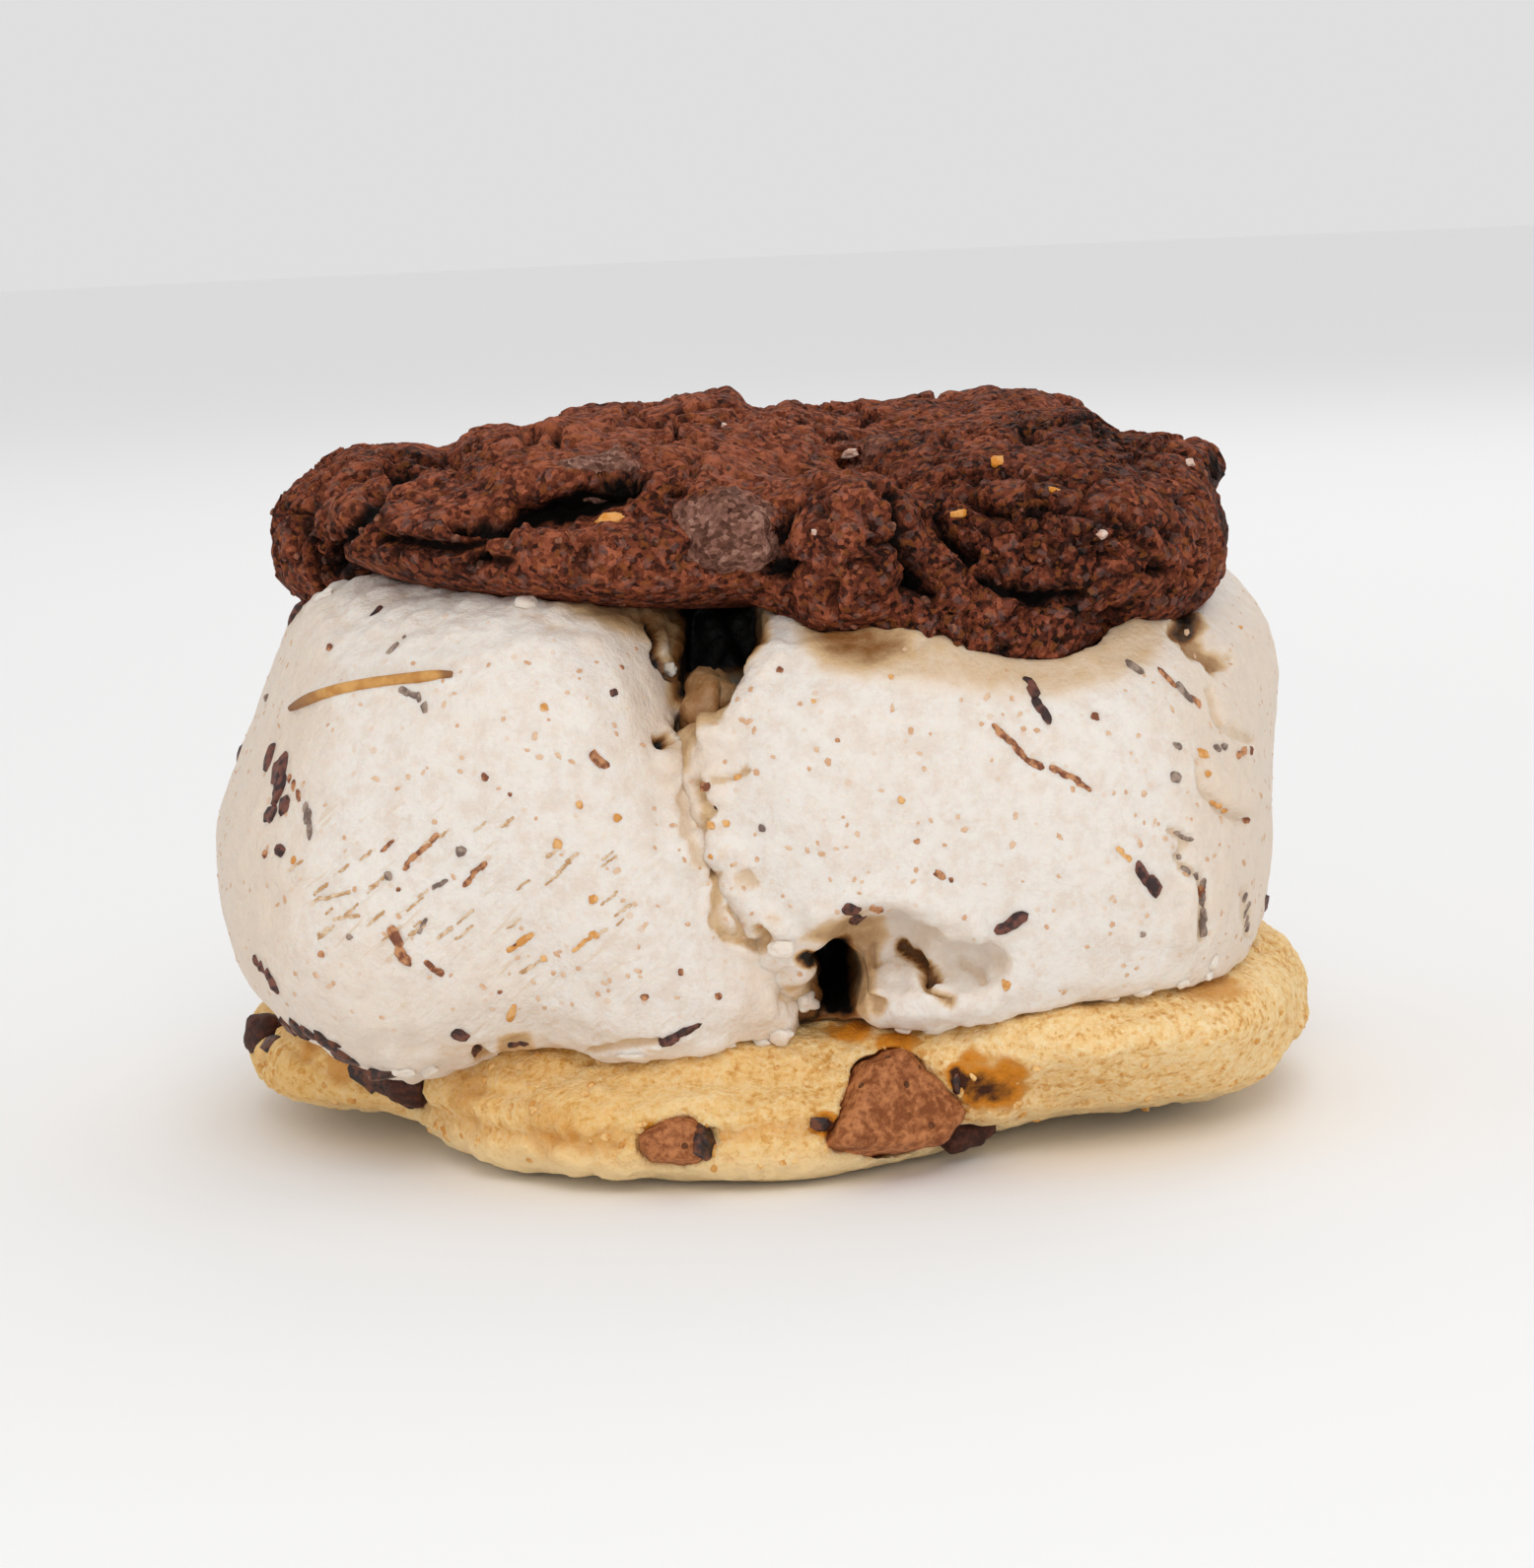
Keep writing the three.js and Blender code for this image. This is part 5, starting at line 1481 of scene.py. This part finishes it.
class SANDWICH_OT_flakes(bpy.types.Operator):
    """Makes the chocolate flakes and smears, the shaving and the flecks"""

    bl_idname = "sandwich.flakes"
    bl_label = "Flakes"

    def execute(self, context):
        colours = context.scene.sandwich_colours
        tree = tree_of_pieces(*CREAM_PIECES)
        draws = np.random.default_rng(FLAKE_SEED)
        bits = {kind: [] for kind in FLAKE_TONES}
        bits["dark"] += hidden_flakes(tree)
        for kind, width, *route in FLAKES:
            bits[kind] += chained(tree, width, route, draws)
        for _ in range(DASH_COUNT):
            column, row = draws.uniform(*DASH_COLUMNS), draws.uniform(*DASH_ROWS)
            reach = draws.uniform(*DASH_REACHES)
            route = [(column - reach, row + 0.8 * reach), (column + reach, row - 0.8 * reach)]
            bits["tan"] += chained(tree, draws.uniform(*DASH_WIDTHS), route, draws)
        for kind, rows in bits.items():
            finish = plain_finish(f"flake_{kind}", *FLAKE_TONES[kind])
            add_piece(f"flakes_{kind}", bits_mesh(kind, rows, 21), finish)
        flecks = self.flecks(tree, context.scene.sandwich_sizes.fleck_count, draws)
        mesh = bits_mesh("flecks", flecks, 22, detail=1, squareness=0.9)
        add_piece("flecks", mesh, plain_finish("fleck", colours.fleck, FLECK_DARK))
        shown = tree_of_pieces(*CREAM_PIECES, "base_crust", "milk_chunk_2")
        smears = []
        for width, *route in SMEARS:
            smears += chained(shown, width, route, draws, SMEAR_OVERLAP)
        finish = plain_finish("smear", *SMEAR_TONES, 0.35)
        add_piece("smears", bits_mesh("smears", smears, 23), finish)
        self.add_shaving(tree, colours)
        return {"FINISHED"}

    @staticmethod
    def flecks(tree, count, draws):
        """Tiny flecks all round both scoops."""
        flecks = []
        for _ in range(count):
            place = touch_round(tree, draws.uniform(0, 2 * math.pi), draws.uniform(*FLECK_HEIGHTS))
            if any(box_share(np.array([place[0]]) / MM, box)[0] > 0 for box in PAINTED_DARK_BOXES):
                continue
            width = draws.uniform(*FLECK_WIDTHS)
            size = (width * draws.uniform(1, 1.8), width, 0.4 * width)
            flecks.append((place, size, draws.uniform(0, math.pi), 0.05))
        return flecks

    @staticmethod
    def add_shaving(tree, colours):
        """A thin strip that lies on the left scoop, pointed and darker at both ends."""
        route = [seen(tree, column, row) for column, row in SHAVING_ROUTE]
        curve = bpy.data.curves.new("shaving", "CURVE")
        curve.dimensions = "3D"
        curve.bevel_depth = SHAVING_RADIUS * MM
        curve.bevel_resolution = 3
        curve.resolution_u = 8
        curve.use_fill_caps = True
        spline = curve.splines.new("NURBS")
        spline.points.add(len(route) - 1)
        spline.use_endpoint_u = True
        spline.order_u = 3
        for index, (point, normal) in enumerate(route):
            spline.points[index].co = (*(point + normal * 0.12 * MM), 1)
            spline.points[index].radius = 0.5 if index in (0, len(route) - 1) else 0.95
        mesh = final_mesh(add_object("strip", curve))
        bpy.data.curves.remove(curve)
        mesh.shade_smooth()
        x = points_of(mesh)[0][:, 0]
        share = (x - x.min()) / (x.max() - x.min())
        store(mesh, "end", np.maximum(smoothstep(0.3, 0.02, share), smoothstep(0.9, 0.96, share)))
        finish = Finish("shaving")
        tone = finish.noise(finish.place(), 1.2, 2).between(0.35, 0.7)
        body = finish.mix(tone, colours.shaving, SHAVING_PALE)
        body = finish.mix(finish.attribute("end") * 0.8, body, SHAVING_ENDS)
        add_piece("shaving", mesh, finish.surface(Base_Color=body))


# ---- Loose crumbs ----
CRUMB_SEED = 41
CRUMB_WIDTHS = (0.35, 0.95)  # least and greatest, in mm
TOP_CRUMB_HEIGHTS = (40, 56)
BASE_CRUMB_HEIGHTS = (1.5, 10)
CRUMB_ROUGHNESS = 0.8
CARAMEL_PALE = linear(226, 160, 84)
PALE_TONES = linear(196, 152, 132), linear(224, 200, 184)
COCOA_TONES = linear(74, 40, 27), linear(142, 88, 64)


class SANDWICH_OT_crumbs(bpy.types.Operator):
    """Makes the loose crumbs and the bits of caramel on the cookies"""

    bl_idname = "sandwich.crumbs"
    bl_label = "Crumbs"

    def execute(self, context):
        colours = context.scene.sandwich_colours
        count = context.scene.sandwich_sizes.crumb_count
        draws = np.random.default_rng(CRUMB_SEED)
        top = tree_of_pieces("top_crust")
        base = tree_of_pieces("base_crust")
        caramel, pale = (
            [(seen(top, column, row), (*size, BIT_DEPTH), 0, BIT_PROUD) for column, row, *size in rows]
            for rows in (CARAMEL_BITS, PALE_BITS_AND_HIGHLIGHT)
        )
        cocoa = self.scattered(draws, top, count, TOP_CRUMB_HEIGHTS)
        golden = self.scattered(draws, base, count, BASE_CRUMB_HEIGHTS)
        caramel_finish = plain_finish("caramel", colours.caramel, CARAMEL_PALE)
        pale_finish = plain_finish("pale_bit", *PALE_TONES)
        cocoa_bit_finish = plain_finish("cocoa_bit", *COCOA_TONES, CRUMB_ROUGHNESS)
        golden_tones = (colours.golden_brown, colours.golden)
        golden_bit_finish = plain_finish("golden_bit", *golden_tones, CRUMB_ROUGHNESS)
        groups = (
            ("caramel_bits", caramel, "golden_cookie", caramel_finish),
            ("pale_bits_and_highlight", pale, "chocolate_cookie", pale_finish),
            ("cocoa_crumbs", cocoa, "chocolate_cookie", cocoa_bit_finish),
            ("golden_crumbs", golden, "golden_cookie", golden_bit_finish),
        )
        for name, bits, slot, finish in groups:
            add_piece(name, bits_mesh(name, bits, 51), finish)
        return {"FINISHED"}

    @staticmethod
    def scattered(draws, tree, count, heights):
        """Crumbs all round a cookie's side."""
        bits = []
        for _ in range(count):
            place = touch_round(tree, draws.uniform(0, 2 * math.pi), draws.uniform(*heights))
            width = draws.uniform(*CRUMB_WIDTHS)
            size = (width, width * draws.uniform(0.6, 1), width * 0.8)
            bits.append((place, size, draws.uniform(0, 6), width * 0.2))
        return bits


# ---- Stage ----
FLOOR_RADIUS = 3  # in metres
MIDDLE_HEIGHT = 28  # of the sandwich, in mm
# Place and size in metres, power in watts and colour of each light, which all face the sandwich.
LIGHTS = (
    ((0.05, -0.6, 0.6), 0.4, 1.35, (1, 0.985, 0.96)),
    ((0, -0.6, 0.1), 0.4, 0.42, (1, 1, 1)),
    ((0.2, 0.6, 0.6), 0.6, 0.9, (1, 1, 1)),
)
SKY_STRENGTH = 0.74


class SANDWICH_OT_stage(bpy.types.Operator):
    """Makes the floor, the lights, the sky and the camera"""

    bl_idname = "sandwich.stage"
    bl_label = "Stage"

    def execute(self, context):
        self.add_floor()
        target = Vector((0, 0, MIDDLE_HEIGHT * MM))
        for number, (place, size, power, colour) in enumerate(LIGHTS):
            light = bpy.data.lights.new(f"light_{number}", "AREA")
            light.shape = "DISK"
            light.size = size
            light.energy = power
            light.color = colour
            lamp = add_object(light.name, light)
            lamp.location = place
            lamp.rotation_euler = (target - Vector(place)).to_track_quat("-Z", "Y").to_euler()
        world = bpy.data.worlds.new("sky")
        world.use_nodes = True
        sky = world.node_tree.nodes["Background"].inputs
        sky["Color"].default_value = (1, 1, 1, 1)
        sky["Strength"].default_value = SKY_STRENGTH
        context.scene.world = world
        context.scene.view_settings.view_transform = "Standard"
        self.add_camera(context.scene)
        return {"FINISHED"}

    @staticmethod
    def add_floor():
        """A plain pale disc under the sandwich."""
        disc = bmesh.new()
        bmesh.ops.create_circle(disc, cap_ends=True, radius=FLOOR_RADIUS, segments=96)
        mesh = bpy.data.meshes.new("floor")
        disc.to_mesh(mesh)
        disc.free()
        finish = Finish("pale_floor")
        mesh.materials.append(finish.surface(Base_Color=(0.95, 0.95, 0.95), Roughness=0.9))
        add_object("floor", mesh)

    @staticmethod
    def add_camera(scene):
        """The camera, placed by the view settings."""
        view = scene.sandwich_view
        right, up, forward = camera_axes()
        camera = bpy.data.cameras.new("camera")
        camera.sensor_fit = "VERTICAL"
        camera.sensor_height = SENSOR
        camera.lens = view.lens
        camera.clip_start = 0.01
        holder = add_object("camera", camera)
        axes = Matrix((right, up, -forward)).transposed().to_4x4()
        holder.matrix_world = Matrix.Translation(camera_place()) @ axes
        scene.camera = holder


class SANDWICH_PT_panel(bpy.types.Panel):
    """Lists the pieces in the 3D view's sidebar"""

    bl_idname = "SANDWICH_PT_panel"
    bl_label = "Ice Cream Sandwich"
    bl_space_type = "VIEW_3D"
    bl_region_type = "UI"
    bl_category = "Sandwich"

    def draw(self, context):
        for operator in OPERATORS:
            self.layout.operator(operator.bl_idname)
        for group in GROUPS:
            settings = getattr(context.scene, group)
            box = self.layout.box()
            for name in settings.__annotations__:
                box.prop(settings, name)


OPERATORS = (
    SANDWICH_OT_stage,
    SANDWICH_OT_bottom_cookie,
    SANDWICH_OT_top_cookie,
    SANDWICH_OT_scoops,
    SANDWICH_OT_chunks,
    SANDWICH_OT_flakes,
    SANDWICH_OT_crumbs,
)
GROUPS = {
    "sandwich_sizes": SandwichSizes,
    "sandwich_colours": SandwichColours,
    "sandwich_view": SandwichView,
}


def register():
    for group in (*GROUPS.values(), *OPERATORS, SANDWICH_PT_panel):
        bpy.utils.register_class(group)
    for name, group in GROUPS.items():
        setattr(bpy.types.Scene, name, PointerProperty(type=group))


def unregister():
    for name in GROUPS:
        delattr(bpy.types.Scene, name)
    for group in (SANDWICH_PT_panel, *reversed(OPERATORS), *reversed(GROUPS.values())):
        bpy.utils.unregister_class(group)


def main():
    register()
    for operator in OPERATORS:
        category, name = operator.bl_idname.split(".")
        getattr(getattr(bpy.ops, category), name)()


if __name__ == "__main__":
    main()
